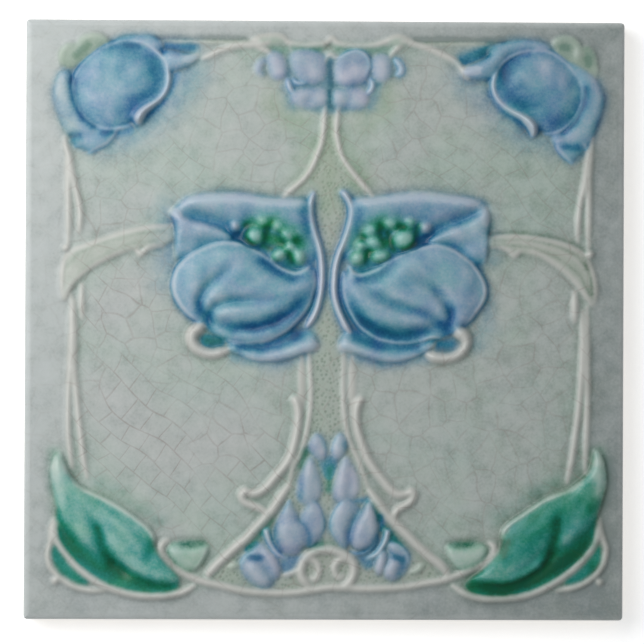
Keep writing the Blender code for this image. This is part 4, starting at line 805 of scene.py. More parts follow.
# %% Soften, and find where the glaze pools
def soften(field, radius):
    """Gaussian blur of the net, radius in millimetres."""
    reach = int(4 * radius / CELL) + 1
    kernel = np.exp(-0.5 * (np.arange(-reach, reach + 1) * CELL / radius) ** 2)
    kernel /= kernel.sum()
    out = np.pad(field, reach, mode="edge")
    out = np.apply_along_axis(np.convolve, 0, out, kernel, "valid")
    return np.apply_along_axis(np.convolve, 1, out, kernel, "valid")


THIN_COAT = 0.45  # how far bare ground is rounded off; the glazed forms below are more so
THICK_COATS = ((("white",), 0.55), (("blue", "leaf", "curl", "berry", "bell"), 0.75))
height = soften(relief, THIN_COAT)
for names, radius in THICK_COATS:
    share = np.clip(soften(sum(wash[name] for name in names), 0.5), 0, 1)
    height = height + share * (soften(relief, radius) - height)

EVEN, SWING = 0.42, 0.46  # the thickness on a flat place, and the most that it can gain or lose
pool = 0.0
for radius, share in ((0.95, 0.48), (1.8, 0.22), (3.5, 0.1)):
    pool = pool + share * (soften(relief, radius) - height)
pool = EVEN + SWING * np.tanh(pool / SWING)
print("glaze thickness from %.2f to %.2f" % (pool.min(), pool.max()))

# %% [markdown]
# Each wash is softened at its edge, because the glazes ran together a little. Two things happen before
# the brush comes out. The rods that part the big flowers are pale at the foot and blue from the middle
# up, so up there they are given to the lips' glaze. And blue creeps furthest of all in the kiln: a halo
# of it stands round every blue form, except over the greens and the bells.

# %% Let the washes run together
SHARP, SOFT = 0.3, 0.42
for name in GLAZES:
    wash[name] = soften(wash[name], SHARP if name in ("white", "lip", "rail", "edge") else SOFT)


def slope(field, start, length):
    """Nothing up to start, one from start + length onwards, and even in between."""
    return np.clip((field - start) / length, 0, 1)


high_up = slope(grid_y, 12, 8)
wash["lip"] = np.maximum(wash["lip"], wash["edge"] * high_up * 0.9)
wash["edge"] *= 1 - high_up
formed = sum(wash[name] for name in GLAZES if name not in ("white", "rail"))
bare = np.clip(1 - formed - 0.45 * (wash["white"] + wash["rail"]), 0, 1)
halo = soften(np.clip(wash["blue"] + wash["lip"] + 0.3 * wash["bell"] + wash["edge"], 0, 1), 1.0)
free = np.clip(1 - sum(wash[n] for n in ("bell", "curl", "leaf", "leaflet", "berry")), 0, 1)
wash["blue"] = np.maximum(wash["blue"], np.clip(1.7 * halo, 0, 1) * free * (1 - 0.45 * wash["white"]))
print("bare ground: %.0f%% of the face" % (100 * bare.mean()))

# %% [markdown]
# The painter's brush comes next, and it has five ways. A dab lays the glaze thicker along a line, or
# thinner where its amount is below nothing. A bleed carries a wash past the edge of a form, where the
# colour has crept into the pale ground. A flood does the same for a whole outline. A tint goes over
# whatever is there, and a wipe takes colour off again. All of them fade softly to either side.

# %% Brush helpers
def filled(outline):
    """One inside the outline, by counting edges crossed."""
    line = [(p[0] + AXIS_X, p[1]) for p in outline]
    inside = np.zeros(relief.shape, bool)
    for (ax, ay), (bx, by) in zip(line, line[1:] + line[:1]):
        if ay == by:
            continue
        between = (grid_y > min(ay, by)) & (grid_y <= max(ay, by))
        inside ^= between & (grid_x < (bx - ax) * (grid_y - ay) / (by - ay) + ax)
    return inside.astype(float)


def strokes(width, lines):
    return (stroke_shape(points, width) for points in lines)


def dabs(amount, width, *lines):
    for window, shape in strokes(width, lines):
        pool[window] += amount * shape


def bleeds(name, amount, width, *lines):
    for window, shape in strokes(width, lines):
        wash[name][window] = np.maximum(wash[name][window], amount * shape * bare[window])


def flood(name, amount, outline):
    wash[name] = np.maximum(wash[name], amount * soften(filled(outline), 0.7) * bare)


def tint(name, amount, width, *lines):
    for window, shape in strokes(width, lines):
        wash[name][window] = np.maximum(wash[name][window], amount * shape)


def wipe(name, amount, width, *lines):
    for window, shape in strokes(width, lines):
        wash[name][window] *= 1 - amount * shape


def tell_washes():
    print("square mm washed:", {name: int(wash[name].sum() * CELL * CELL) for name in GLAZES})


def tell_thickness():
    print("glaze %.2f to %.2f thick, %.3f on average" % (pool.min(), pool.max(), pool.mean()))


tell_washes()

# %% [markdown]
# Between the bells no pale ground is left: blue stands there, and a little green in the middle of the
# skirt. Round the flowers the blue is a haze that is strong at the petals' edges and weak further out.

# %% Flood and bleed the colours past the edges
# Behind the bells under the rail, then between those of the skirt
flood("blue", 0.6, [(-9.8, 68.6), (-1, 67.8), (1, 67.4), (9.6, 68.4), (11.2, 66), (11, 61), (11, 57),
       (9.6, 53.6), (1, 52.6), (-1, 52.6), (-9.6, 53.6), (-10.8, 58), (-12, 62), (-11.4, 66.6)])
flood("blue", 0.85,
      [(-2.8, -34.2), (2.8, -34.2), (2.2, -38.5), (0.8, -40.4), (-0.8, -40.4), (-2.2, -38.5)])
flood("blue", 0.9, [(-12.4, -59.6), (-5.2, -59.6), (-8, -62.6), (-10.4, -65), (-12.6, -63.4)])
flood("blue", 0.9, [(6.6, -59.6), (12.4, -58), (12.2, -62.6), (9.6, -63.4)])
flood("leaf", 0.4, [(-1.4, -56), (1.4, -56), (4, -58), (-4, -58)])
# A wide haze outside the left flower and under the corner flowers
bleeds("blue", 0.45, 6.0, [(-41, 27), (-41, 20), (-41, 11)],
       [(57, 46), (50, 47), (43, 53), (39, 58), (34, 61)])
bleeds("blue", 0.6, 7.0, [(-57, 46.4), (-50, 48), (-45, 52), (-40, 57), (-36, 63)])
# Strong at the corner flowers, at the torn petals and under the big curls
bleeds("blue", 1.0, 3.0, [(-47.6, 51), (-44, 54), (-41, 57.6), (-39, 62)], [(-57, 46.6), (-51, 48)],
       [(49, 50.6), (44, 54), (41.4, 58)], [(-42, 69.4), (-35, 69.2)], [(34, 66.4), (41, 69)],
       [(-31, -5.4), (-28, -5.4)], [(31, -6), (28, -6)])
# Beside the petals, and in the gaps by the bells
bleeds("blue", 0.6, 2.6, [(-44.6, 54), (-40.8, 58.6), (-39, 62.4)], [(-40.6, 22), (-40.6, 15)],
       [(-24, -9.4), (-14, -11.2), (-6, -8.6)], [(24, -9.6), (14, -11), (6, -8.6)],
       [(-11, 59), (-9.6, 54.6)], [(12, 60), (10, 54.6)], [(-5.8, 29), (-5.2, 22)],
       [(6.2, 29), (5.4, 22)])
# Weaker on the outer side of the right flower
bleeds("blue", 0.35, 4.0, [(40, 5), (40, -2), (38, -6)], [(40.8, 26), (41, 16)])
# Green at the left curl, under the rail, above the leaves and among the bells
bleeds("leaf", 0.6, 2.2, [(-31, -5.4), (-28, -5.4)])
bleeds("berry", 0.5, 2.0, [(-9, 69.2), (-3, 69)], [(2, 69), (9, 69.2), (15, 68.8)],
       [(-14, 69.2), (-11.4, 68.6)])
bleeds("leaf", 0.28, 3.4, [(-58, -42), (-50, -46.6), (-43, -51)], [(58, -41), (50, -46), (43, -50.6)])
bleeds("leaf", 0.7, 1.8, [(-14.6, -51), (-17, -54), (-20, -57.8)], [(14.6, -53), (18, -57)],
       [(-6, -33.4), (-6.8, -37)], [(11, -47), (12.6, -50)], [(-1.6, -57), (-4, -57.6)],
       [(0.4, -38), (0.2, -43)])
# Small gaps in the skirt
bleeds("blue", 0.85, 1.6, [(13.4, -50), (13.6, -53)], [(5.4, -46), (9.6, -45.8)],
       [(-18, -57.4), (-20.4, -58.6)], [(-13.4, -59.6), (-12.6, -62)], [(15, -55.4), (16.4, -56)])
# Moss green under the arches and in the head of the pedestal
bleeds("moss", 0.5, 6.0, [(-3, 44), (-6, 36)], [(3, 44), (7, 36)], [(0, 46), (0, 30)],
       [(-14, 56), (-8, 50)], [(14, 56), (8, 50)])
tell_washes()

# %% [markdown]
# Tints and wipes come last, for what the kiln did by chance: green that ran between the seeds and down
# the valleys of the leaves, and petal edges and leaf tips where the colour burnt off. A wipe works on
# what lies there already, so the order of these strokes matters.

# %% Tint and wipe
# The bed of the seeds, and the gaps between them
tint("berry", 1.0, 3.6, [(-19.4, 24), (-14, 24.6), (-10, 22), (-7.6, 19)],
     [(-19.4, 21.4), (-13, 20), (-9, 16)], [(20, 23.4), (14, 24.6), (9.6, 22.6), (7.6, 19.6)],
     [(19.6, 21), (13, 19.4), (8.6, 16)])
tint("berry", 0.85, 1.9, [(-21.4, 24.2), (-19.6, 25.4)], [(-17, 19), (-14.8, 18)],
     [(-16, 23.2), (-15, 20)], [(-10, 17), (-9.4, 16)], [(-12, 21.6), (-10.6, 19.6)],
     [(22.6, 24), (21.6, 22)], [(14.8, 22.4), (16.2, 18)], [(12.8, 21.6), (9.4, 21)],
     [(10.4, 18), (9.6, 16.6)])
# Valleys of the right and left leaf
tint("berry", 0.7, 3.0, [(65.7, -56.4), (60, -60.7), (53.6, -64.3), (44.3, -67.9), (37, -67)])
tint("berry", 0.35, 2.4, [(-67, -55), (-63.1, -60), (-57.4, -63), (-50, -66), (-42, -67.6)])
# A trace of green down the middle and on a torn petal
tint("leaf", 0.22, 1.5, [(0, 66.4), (0.2, 54)])
tint("leaf", 0.28, 2.2, [(33.4, 65.8), (40, 69)])
# Outer petal of the left corner flower
wipe("blue", 0.5, 3.4, [(-68.6, 60), (-68.4, 54), (-66, 49)])
wipe("blue", 0.6, 1.5, [(-71.6, 62), (-71.8, 56), (-70, 50), (-66.6, 46)])
# Upper edges of the two hoods
wipe("blue", 0.45, 1.6, [(-37, 32.6), (-20, 33), (-8, 31.6)], [(37, 32.4), (20, 33.4), (8, 32)])
# Tips of the leaves
wipe("leaf", 0.85, 3.4, [(-69.4, -32), (-69.6, -38), (-68.6, -45, .4)])
wipe("leaf", 0.85, 3.6, [(69, -31), (70, -37), (69.4, -44, .4)])
# Right flower's petal, and a spot in the right corner flower
wipe("blue", 0.14, 6.0, [(24, 12), (32, 8)])
wipe("blue", 0.5, 1.4, [(19.6, 66), (20.6, 62), (18, 58.8)])
# Back again: a dark spot in the left leaf, pale leaf tips, white petal ends
tint("leaf", 1.0, 2.0, [(-53, -64), (-50, -65.4)])
tint("leaflet", 0.6, 2.6, [(-69.4, -34), (-69.6, -40), (-69, -47, .5)],
     [(69, -33), (70, -39), (69.6, -46, .5)])
tint("white", 0.55, 1.7, [(-3.2, -6.6), (-5, -7.4)], [(3.2, -6.8), (4.6, -7.3)])
tell_washes()

# %% [markdown]
# What remains is thickness. The nearest hollows and ridges were found by the blurs, but a real glaze is
# moodier: it is deepest in the creases and between the seeds, and thin on every rim. The dabs go over
# the face flower by flower. The bells come out too strong at first, so their contrast is taken down.

# %% Thickness round the seeds
BELLS_CALMER = 0.22
pool -= BELLS_CALMER * (pool - EVEN) * wash["bell"]
# Paler tops of the seeds: thin glaze on each crest, and a painted highlight just above its middle
for x, y, rx, ry, turn in SEEDS_LEFT + SEEDS_RIGHT:
    dabs(-0.14, 1.1 * ry, [(x - 0.2, y + 0.2), (x + 0.2, y + 0.3)])
# The dark gaps between them
dabs(0.3, 1.4, [(-21.4, 24), (-20.6, 19)], [(-16.6, 19.4), (-14.6, 18)], [(-15.4, 23.6), (-15, 24.6)],
     [(-16.4, 21), (-16.2, 23)], [(-10.8, 17.4), (-9.6, 15)], [(-11.4, 20), (-12.8, 22)],
     [(-9, 20), (-8.2, 20.6)], [(22.2, 23.6), (21.8, 19)], [(14.8, 22.4), (16, 18.6)],
     [(12.6, 22.6), (13, 20.8)], [(10, 17.4), (9.4, 15)], [(8.6, 21), (8.4, 20)],
     [(17.6, 23.8), (18.6, 23.6)], [(12.6, 24.2), (13.2, 23.8)])
# The deep channel that the fold leaves beside them
dabs(0.5, 1.7, [(-25.6, 23.4, .5), (-23.4, 21.6), (-21.6, 19.8), (-18.4, 18.6, .6)],
     [(25.6, 22.4, .5), (24, 20.4), (22, 19), (19, 17.8, .6)])
tell_thickness()

# %% Thickness on the big flowers
# Creases, then the deepest one along the lower edge
dabs(0.3, 2.2, [(-16.9, 15.2), (-13.3, 12.9), (-9.7, 11), (-6.1, 11.2)],
     [(16, 14.4), (12, 11.6), (7.4, 10.8)], [(-33, 3.8), (-32.9, 2.4)], [(-30.4, 1), (-30.6, -0.8)],
     [(30.9, 2.4), (30.8, 0)], [(28.4, -1), (29.6, -2.4)])
dabs(0.42, 3.4, [(-5.8, 6, .5), (-8.6, 2.4), (-12, 0), (-17, -1.6), (-24, -2.2, .5)],
     [(5.4, 3.4, .6), (8.6, -0.4), (12.1, -2.6), (17, -3.6), (24, -2.9, .6)])
# The mouth's inner side, and the lower petals
dabs(0.3, 2.4, [(-6.4, 28), (-5.8, 23)], [(7.9, 28.4), (7.2, 23)],
     [(-8.3, -4), (-12.6, -6.3), (-17.6, -7.4), (-22.6, -7)],
     [(7.1, -4.7), (12.1, -6.9), (17.1, -7.7), (22.1, -6.6)])
# Thin along the hoods, where the folds turn over, and at the points of the petals
dabs(-0.22, 2.2, [(-37.9, 30.6), (-33.3, 31.4), (-25.4, 31), (-15.4, 30.4), (-8, 30)],
     [(8, 30.4), (15, 31), (25, 31.6), (33, 31), (37.4, 30.4)], [(-29.7, 28.1, .4), (-24, 27.6, .4)])
dabs(-0.06, 1.5, [(-37.6, 28.7), (-35.4, 27.1), (-32.6, 26), (-29.7, 25.3), (-26.9, 24.5)],
     [(38.2, 28.9), (37, 27.3), (33.6, 26), (30, 24.6)], [(-15.4, -10.4), (-20.4, -10)])
dabs(-0.4, 1.5, [(-40.4, 28), (-38.8, 26.9)], [(40.2, 28.6), (39.9, 25)], [(-3.4, -7), (-5, -7.3)],
     [(3, -7), (5, -7.3)], [(-34, 67), (-36, 66.2)], [(34.4, 63.6), (37.4, 63.8)])
# Thin on the swell of the petals, on the folds and on the rims
dabs(-0.08, 3.0, [(-34.7, 8.4), (-34.9, 6)], [(-29.4, 6.8), (-27.6, 5.6)],
     [(-28, 1.2), (-21.1, 1.7), (-15.4, 2.6)], [(-26, -4), (-15.4, -3.8)], [(-28, 15), (-25, 15.6)],
     [(-24, 8), (-20, 9)], [(17, 6), (22, 8)], [(29, 7), (32, 11)], [(12, 2), (18, 0.2), (26, -0.8)],
     [(-32.2, 22.8), (-30, 22.4)], [(32.1, 22.9), (36, 22)])
dabs(-0.12, 3.0, [(-36.6, 24), (-35, 19)], [(36.6, 23), (36, 18)], [(-19, -8.6), (-7, -7.8)],
     [(7, -7.8), (18, -8.6)])
dabs(-0.16, 0.9,
     [(-36.7, 2.4), (-39.3, 6.8), (-39.3, 10.9), (-37, 14.8), (-32.6, 17.7), (-27.4, 19.4),
      (-22.6, 19.1)],
     [(37.4, 2.4), (39.6, 6.6), (39, 10.2), (36.1, 14.5), (31.8, 17.7), (26.8, 19), (20.7, 17.4)],
     [(-13.1, 13.6), (-8.7, 11.9), (-5, 13.4)], [(12.5, 13.1), (7.9, 11.5), (5, 13.4)])
tell_thickness()

# %% Thickness on the corner flowers
# The hollow inside the rim, then the fine dark line round the bowl
dabs(0.24, 3.0, [(-46.4, 66.4), (-44.4, 63), (-44.2, 60), (-46.8, 56.8)],
     [(-50.4, 53.6), (-52.6, 51.6, .6)], [(-55, 68.4, .5), (-51, 68.6)],
     [(43.8, 62.4), (44.2, 59.8), (46, 57.4), (49, 55)], [(46.4, 65), (44.8, 63)],
     [(56.6, 50.4), (60, 51.4, .5)])
dabs(0.4, 1.6, [(-65.6, 60.4), (-65.3, 56), (-63, 51.2), (-60.4, 49.2)],
     [(65, 59), (64.7, 55), (62.9, 51), (60.2, 48)], [(-57.6, 47.2), (-55.6, 47.6)],
     [(-65.4, 46.4), (-64, 46.6)], [(59.6, 44.4), (63, 44)], [(59.2, 69.8), (60.2, 69.6)],
     [(65.6, 66.8), (65.9, 65.6)], [(-61.6, 69.8), (-64.6, 67)])
dabs(0.2, 1.5, [(-65, 60), (-64, 63.6), (-61, 67), (-57.4, 69.4), (-53, 70.4), (-49, 69.6)])
# Under the torn petals
dabs(0.16, 1.8, [(-41.6, 68.8), (-35.4, 69)], [(34.4, 66.2), (41, 68.8)])
# Outer petals: thin on the crest, thicker behind it
dabs(-0.06, 2.6, [(-68.4, 61), (-67.6, 56), (-66.4, 52), (-63.6, 49), (-60, 47.4)])
dabs(-0.25, 2.6, [(67.6, 61), (68.2, 57.4), (67.2, 53.4), (64.6, 49.6), (61.4, 47)])
dabs(0.16, 3.0, [(66, 60), (67.6, 55), (65, 50)])
dabs(0.12, 3.6, [(-68.4, 60), (-68.2, 54), (-66, 49.6)])
# The bowls themselves, paler to the left
dabs(-0.16, 5.0, [(-58, 58.4), (-56, 57)], [(55, 64), (54, 63)])
dabs(0.12, 6.0, [(48, 58), (54, 56), (59, 54)])
tell_thickness()

# %% Thickness on the leaves
# Valleys along the lower edge of both leaves
dabs(0.3, 2.8, [(65.7, -56.4, .5), (60, -60.7), (53.6, -64.3), (44.3, -67.9), (37, -67, .6)])
dabs(0.24, 2.6,
     [(-68, -52.4, .5), (-66, -56), (-63, -60), (-58, -63), (-53, -64.8), (-48, -66.8),
      (-41, -67.6, .6)],
     [(67.6, -53, .5), (65.4, -57.6), (61.4, -61.4), (56.8, -64), (51, -66.8), (45, -68.2),
      (36, -67.6, .6)], [(-29.7, -5.3), (-28, -5.2)], [(29.6, -6), (28.4, -6)])
# Creases that run up from them, and the hollows of the leaflets
dabs(0.3, 2.0, [(-58.4, -53), (-57.6, -57), (-55.2, -61.4)], [(58.3, -51), (57.4, -56), (54.6, -61)],
     [(-44.9, -56.8), (-45.6, -59)], [(45.4, -56.4), (44.6, -59.6)], [(-36.6, -57), (-32.6, -57)],
     [(36, -57.1), (31.6, -57.2)], [(68, -46), (67, -47.6)])
# The left leaf is paler as a whole, the right one deeper
dabs(-0.14, 7.0, [(-62, -48), (-50, -55)])
dabs(-0.06, 8.0, [(-64, -44), (-50, -56)])
dabs(0.13, 7.0, [(61, -48), (50, -56)])
# Thin on the lobes and along the tips
dabs(-0.13, 2.4, [(-65, -50), (-62.4, -54.6), (-60, -58.4)], [(-54.6, -56), (-50.4, -61), (-44, -65)],
     [(62.2, -49), (60.4, -53), (59.2, -56)], [(52, -61), (46.8, -64), (42.6, -64.6)],
     [(-69, -38), (-68.8, -46)], [(69.4, -33.6), (69, -41)])
tell_thickness()

# %% Thickness on the bells, the rail and the bands
# Between the bells under the rail and down the middle
dabs(0.06, 1.8, [(0, 66.4), (0.2, 61), (0, 57), (0.2, 53.4)], [(-10.4, 67), (-10.6, 62)],
     [(10.3, 67.2), (10.8, 62)], [(-8.4, 59.3), (-3, 59.6)], [(2, 59.5), (8, 60)],
     [(-15.9, 65.6), (-15.8, 63)], [(15.9, 65.6), (16, 63)], [(-8.8, -61.6), (-8.8, -63.6)],
     [(9, -61.4), (9.2, -63)], [(0, -36.6), (0, -39)], [(-6.3, -35.6), (-6.6, -36.6)])
dabs(0.2, 1.6, [(0, 64.6), (0.2, 60), (0.2, 54.6)])
dabs(0.06, 4.0, [(-8, 64), (-4, 57)], [(5, 64), (6, 57)])
# Hollows of the skirt's bells
dabs(0.26, 1.3, [(-8.4, -50, .5), (-6, -51.8), (-4.7, -54.6), (-4.8, -58)],
     [(9, -48, .5), (6.6, -51), (5.3, -54.6), (5.4, -58)],
     [(16, -59.6), (18.6, -60.4), (19, -62.6), (17.8, -64.4, .5)], [(-20.2, -60.4), (-17.4, -60.4)],
     [(-13.6, -52), (-13.9, -55.6), (-12, -58.6)], [(-6.4, -38, .4), (-7, -45)],
     [(4.2, -31.4), (4.6, -33.4)])
# Thin on the swell of each bell
dabs(-0.14, 1.8, [(-2.6, -31), (-2, -33)], [(2, -31), (1.9, -33)], [(-5.2, -38), (-5.2, -44)],
     [(-2.8, -42), (-2.8, -44)], [(3.6, -38), (2.8, -44)], [(-3, -48.6), (-2.4, -53)],
     [(2.6, -48.6), (2, -53)], [(-11.4, -53), (-10.6, -56)], [(10.6, -49), (11, -53)],
     [(-20, -63), (-17, -66.4)], [(-14.6, -60.4), (-13.2, -63)], [(13.4, -60.6), (12.8, -63)],
     [(16.6, -61.8), (15.6, -64)])
dabs(-0.24, 2.2, [(-5, 64.4), (-4.4, 63)], [(3.5, 61.8), (6, 63.4)], [(-2, 56.6), (-3, 56.4)],
     [(-6.6, 57.4), (-7.4, 57)], [(2, 56.4), (2.8, 56.6)], [(7, 56.6), (7.8, 56)],
     [(-14, 66), (-13.2, 63.4)], [(13.2, 65), (13.2, 62.6)], [(6.6, -38), (7, -43)])
dabs(-0.14, 3.2, [(5.4, 62), (8, 63)])
# A thin line of painted shadow above the rail, and glaze pooled at the feet of the skirt's bells
dabs(0.3, 1.4, [(-0.3, 70.2), (-1, 70)], [(-44, 71.7), (-22, 71.7)], [(22, 71.5), (44, 71.5)],
     [(-17, -60.3), (-19.4, -60.4)], [(17, -60.4), (19, -60.6)],
     [(8, -59), (11, -57.6), (12.6, -54.6)])
# Grooves between the ribs of the right band
dabs(0.17, 0.8,
     [(66.4, 6.6), (64, 11.4), (61, 14.2), (57, 16.6), (52.6, 18.4), (48, 19.1), (42, 19.2)],
     [(65.6, 13.4), (63, 16.6), (58.8, 18.9), (54, 20.1), (49, 20.7), (42, 20.4)],
     [(67, 7), (66.7, 11), (65.2, 14.6)])
# Painted shade along the upper edge of the right band, then the grooves between the ribs of the left
# band
dabs(0.15, 0.9, [(66, 17.7), (62.4, 19.7), (57.4, 21.3), (52, 22.3), (46.3, 22.7), (41, 22.3)],
     [(-66.2, 6), (-64, 11), (-60, 14.6), (-55, 17.3), (-50.4, 19.2), (-44, 20)],
     [(-66.6, 13.4), (-63.6, 16.8), (-58, 19.2), (-53, 20.6), (-48, 21.9), (-42, 22.4)])
tell_thickness()

# %% [markdown]
# The brush left streaks. Its hairs fan out from where it was set down, one laying a little more glaze
# and the next a little less, so the petals are faintly rayed towards their rims.

# %% Streaks of the brush
def streaks(amount, width, start, *ends):
    for k, end in enumerate(ends):
        spots = [(start[0] + t * (end[0] - start[0]), start[1] + t * (end[1] - start[1]), strong)
                 for t, strong in ((0.3 + 0.08 * (k % 3), .3), (0.7, 1.0), (1.0, .3))]
        dabs(amount if k % 2 else -amount, width, spots)


streaks(0.07, 1.3, (-58, 55), (-65, 59), (-64, 63), (-61, 66), (-58, 68), (-54, 69.6), (-50, 69.4),
        (-46.4, 67), (-44, 64), (-43, 60.6), (-44.6, 57), (-48, 54.4), (-51, 51.6), (-55, 49.6),
        (-60, 50.4))
streaks(0.07, 1.3, (57, 55), (63, 58), (62.4, 62), (60, 65), (57, 67.4), (53, 68), (49.4, 67.4),
        (46, 65.4), (43.4, 62), (43, 58.4), (46, 54.8), (50, 52.6), (53, 49.8), (56.6, 49))
streaks(0.06, 1.1, (-32, 0), (-39, 9), (-38, 12.4), (-35.4, 15.4), (-32, 17.4), (-28.4, 18.6),
        (-25, 18.8), (-21.4, 17.6), (-18, 15.6), (-14, 12.6), (-10.4, 11), (-6.6, 9.6), (-6, 5),
        (-9, 0), (-14, -3))
streaks(0.06, 1.1, (31.6, -1), (38.6, 8), (37.4, 11.4), (34.8, 14.6), (31.4, 16.8), (27.4, 18),
        (23, 17.2), (19, 15.4), (14.6, 12.8), (10.4, 10.8), (6, 9.4), (5, 5), (8, 0), (13, -3.4))
streaks(0.07, 1.2, (-68, -37), (-46.6, -53.4), (-46, -57), (-45, -60.4), (-49, -60), (-53, -59),
        (-56, -57.4), (-60, -58), (-64, -55.4), (-67, -51.6))
streaks(0.07, 1.2, (69, -36), (47.6, -52), (46, -55.6), (45, -59.6), (48.6, -60.6), (53, -60),
        (57, -58.4), (61, -56.6), (64.8, -54), (68, -50))
tell_thickness()

# %% [markdown]
# Kinds of ground are told apart: the plain border, the panel inside the frame, and the stippled ground
# of the pedestal. Each is a shape filled on the net and softened. Low on the left the ground also
# blushes, a warm stain in the glaze. All are stored on the points, where the material can read them.
# The border is given thicker, darker glaze to the right and towards the bottom, and the bare panel a
# little to the right: painted shade, adding to the lamp's fall from the upper left.

# %% Regions of the ground
panel = filled([(-66, 44), (-70, 52), (-70, 64), (-62, 71.5), (-20, 70.7), (-15, 71.8), (-10, 70.2),
                (11, 70.2), (16, 71.6), (22, 70.5), (62, 71.5), (69, 64), (69, 52), (66.4, 44),
                (66.4, -32), (70.6, -40), (69, -52), (70.4, -60), (64, -67), (50, -70), (34, -69.6),
                (28, -66.6), (12, -68), (0, -68), (-12, -69.2), (-28, -67), (-36, -69.4),
                (-50, -69.6), (-64, -67.6), (-70.6, -60), (-70, -50), (-70, -38), (-66, -32)])
stipple = filled([(-1.3, 53), (-2, 45), (-5, 38), (-4, 32), (-4.4, 26), (-2.4, 18), (-1.6, 8),
                  (-3.4, 0), (-2.6, -7), (-4.6, -10), (-4.2, -21), (-5.6, -30), (-9, -38),
                  (-15, -50), (-27, -62), (-29.6, -66.4), (-10, -68.6), (2, -67.4), (28, -66),
                  (26, -61), (15, -50.4), (9, -39), (4.6, -29), (3.4, -21), (3.6, -10), (2.4, -7),
                  (3, 0), (1, 8), (2, 18), (4.8, 26), (4.2, 31), (6, 37), (2.6, 43), (1.6, 53)])
panel, stipple = soften(panel, 0.9), soften(stipple, 0.35)
BLUSH = 0.85
blush = np.zeros_like(pool)
for spots, width in (([(-56, -20), (-40, -34), (-24, -30)], 18.0), ([(-56, 2), (-50, 8)], 12.0)):
    window, shape = stroke_shape(spots, width)
    blush[window] = np.maximum(blush[window], BLUSH * shape)
stipple *= np.clip(1 - 1.4 * height, 0, 1)  # no stipple on what stands over the ground
# Painted shade: thicker, darker glaze towards the right and the bottom
SHADE_TO_RIGHT, SHADE_TO_BOTTOM, PANEL_SHADE_RIGHT = 0.24, 0.08, 0.07
shade_to_lower_right = SHADE_TO_RIGHT * slope(grid_x, -10, 85) + SHADE_TO_BOTTOM * slope(-grid_y, 5, 70)
pool += (1 - panel) * shade_to_lower_right + PANEL_SHADE_RIGHT * panel * bare * slope(grid_x, 5, 45)
print("panel covers %.0f%% of the face" % (100 * panel.mean()))

# %% [markdown]
# The rim of the tile is a soft cushion: the face rounds over to the side, and glaze is thin and pale
# there; the paler rim is also a painted highlight along the cushion. The upright corners are rounded as
# well, so near them the net's points are pushed in from the square. The face is never quite flat
# either.
# It warps by a few hundredths of a millimetre as it dries.

# %% Shape of the rim
dx, dy = HALF - np.abs(grid_x), HALF - np.abs(grid_y)
reach_x, reach_y = np.maximum(CORNER_R - dx, 0), np.maximum(CORNER_R - dy, 0)
long_way = np.hypot(reach_x, reach_y)
in_corner = (reach_x > 0) & (reach_y > 0)
squeeze = np.where(in_corner, np.maximum(reach_x, reach_y) / np.maximum(long_way, 1e-9), 1.0)
face_x = np.sign(grid_x) * (np.abs(grid_x) - reach_x * (1 - squeeze))
face_y = np.sign(grid_y) * (np.abs(grid_y) - reach_y * (1 - squeeze))
inset = np.where(in_corner, CORNER_R - long_way * squeeze, np.minimum(dx, dy))
lean = np.clip(1 - inset / CUSHION_W, 0, 1)
RIM_THIN_AND_LIT, WARP = 0.3, 0.035
# Paler rim: thin glaze on the cushion, and a painted highlight along it
pool = pool - RIM_THIN_AND_LIT * lean
wave = WARP * np.sin(grid_x / 17 + 1.1) * np.cos(grid_y / 13 - 0.4)
face_z = BODY + height - CUSHION_D * (1 - np.sqrt(np.clip(1 - lean ** 2, 0, 1))) + wave * (lean == 0)
slope_x, slope_y = np.gradient(face_z, CELL, axis=1), np.gradient(face_z, CELL, axis=0)
face_normal = np.stack([-slope_x, -slope_y, np.ones_like(face_z)], 2)
face_normal /= np.linalg.norm(face_normal, axis=2, keepdims=True)
print("face from %.2f to %.2f mm" % (face_z.min(), face_z.max()))

# %% [markdown]
# Washes lie over each other, and the one on top hides the rest. So the top wash is given what it
# covers, the next takes from the room that is left, and each is stored as its share of that room,
# because the material mixes them in turn from below. Where a higher wash leaves no room at all, a share
# has no meaning and is borrowed from beside it, so that no pale seam shows between two colours.

# %% Share the room between the washes
NO_ROOM, BORROW_R = 0.05, 0.45
room, coat = np.ones_like(pool), np.zeros_like(pool)
for name in reversed(GLAZES):
    laid = np.minimum(np.clip(wash[name], 0, 1), room)
    coat = coat + laid * (name not in ("rail", "moss", "white"))
    spread = soften(laid, BORROW_R) / np.maximum(soften(room, BORROW_R), 1e-6)
    wash[name] = np.where(room > NO_ROOM, laid / np.maximum(room, NO_ROOM), np.clip(spread, 0, 1))
    room = room - laid
layers = {"pool": pool, "panel": panel, "stipple": stipple, "coat": coat, "blush": blush}
layers.update({"wash_" + name: wash[name] for name in GLAZES})
print("%.0f%% of the face is left uncovered" % (100 * room.mean()))

# %% [markdown]
# The face itself is built in six sheets, because one would be heavier than a single piece should be.
# They part where only straight stems cross, so no joint shows. Each starts as a grid at its place, its
# points take the pressed heights, and its rim is extruded down and closed so that it is a solid slab.

# %% Lay the sheets
SKIRT_Z = BODY - 1.5  # the underside of the sheets, and the top of the clay body
SEAMS_Y = (-15, 43)
cut_x = [0, round((AXIS_X + HALF) / CELL), count]
cut_y = [0] + [round((y + HALF) / CELL) for y in SEAMS_Y] + [count]


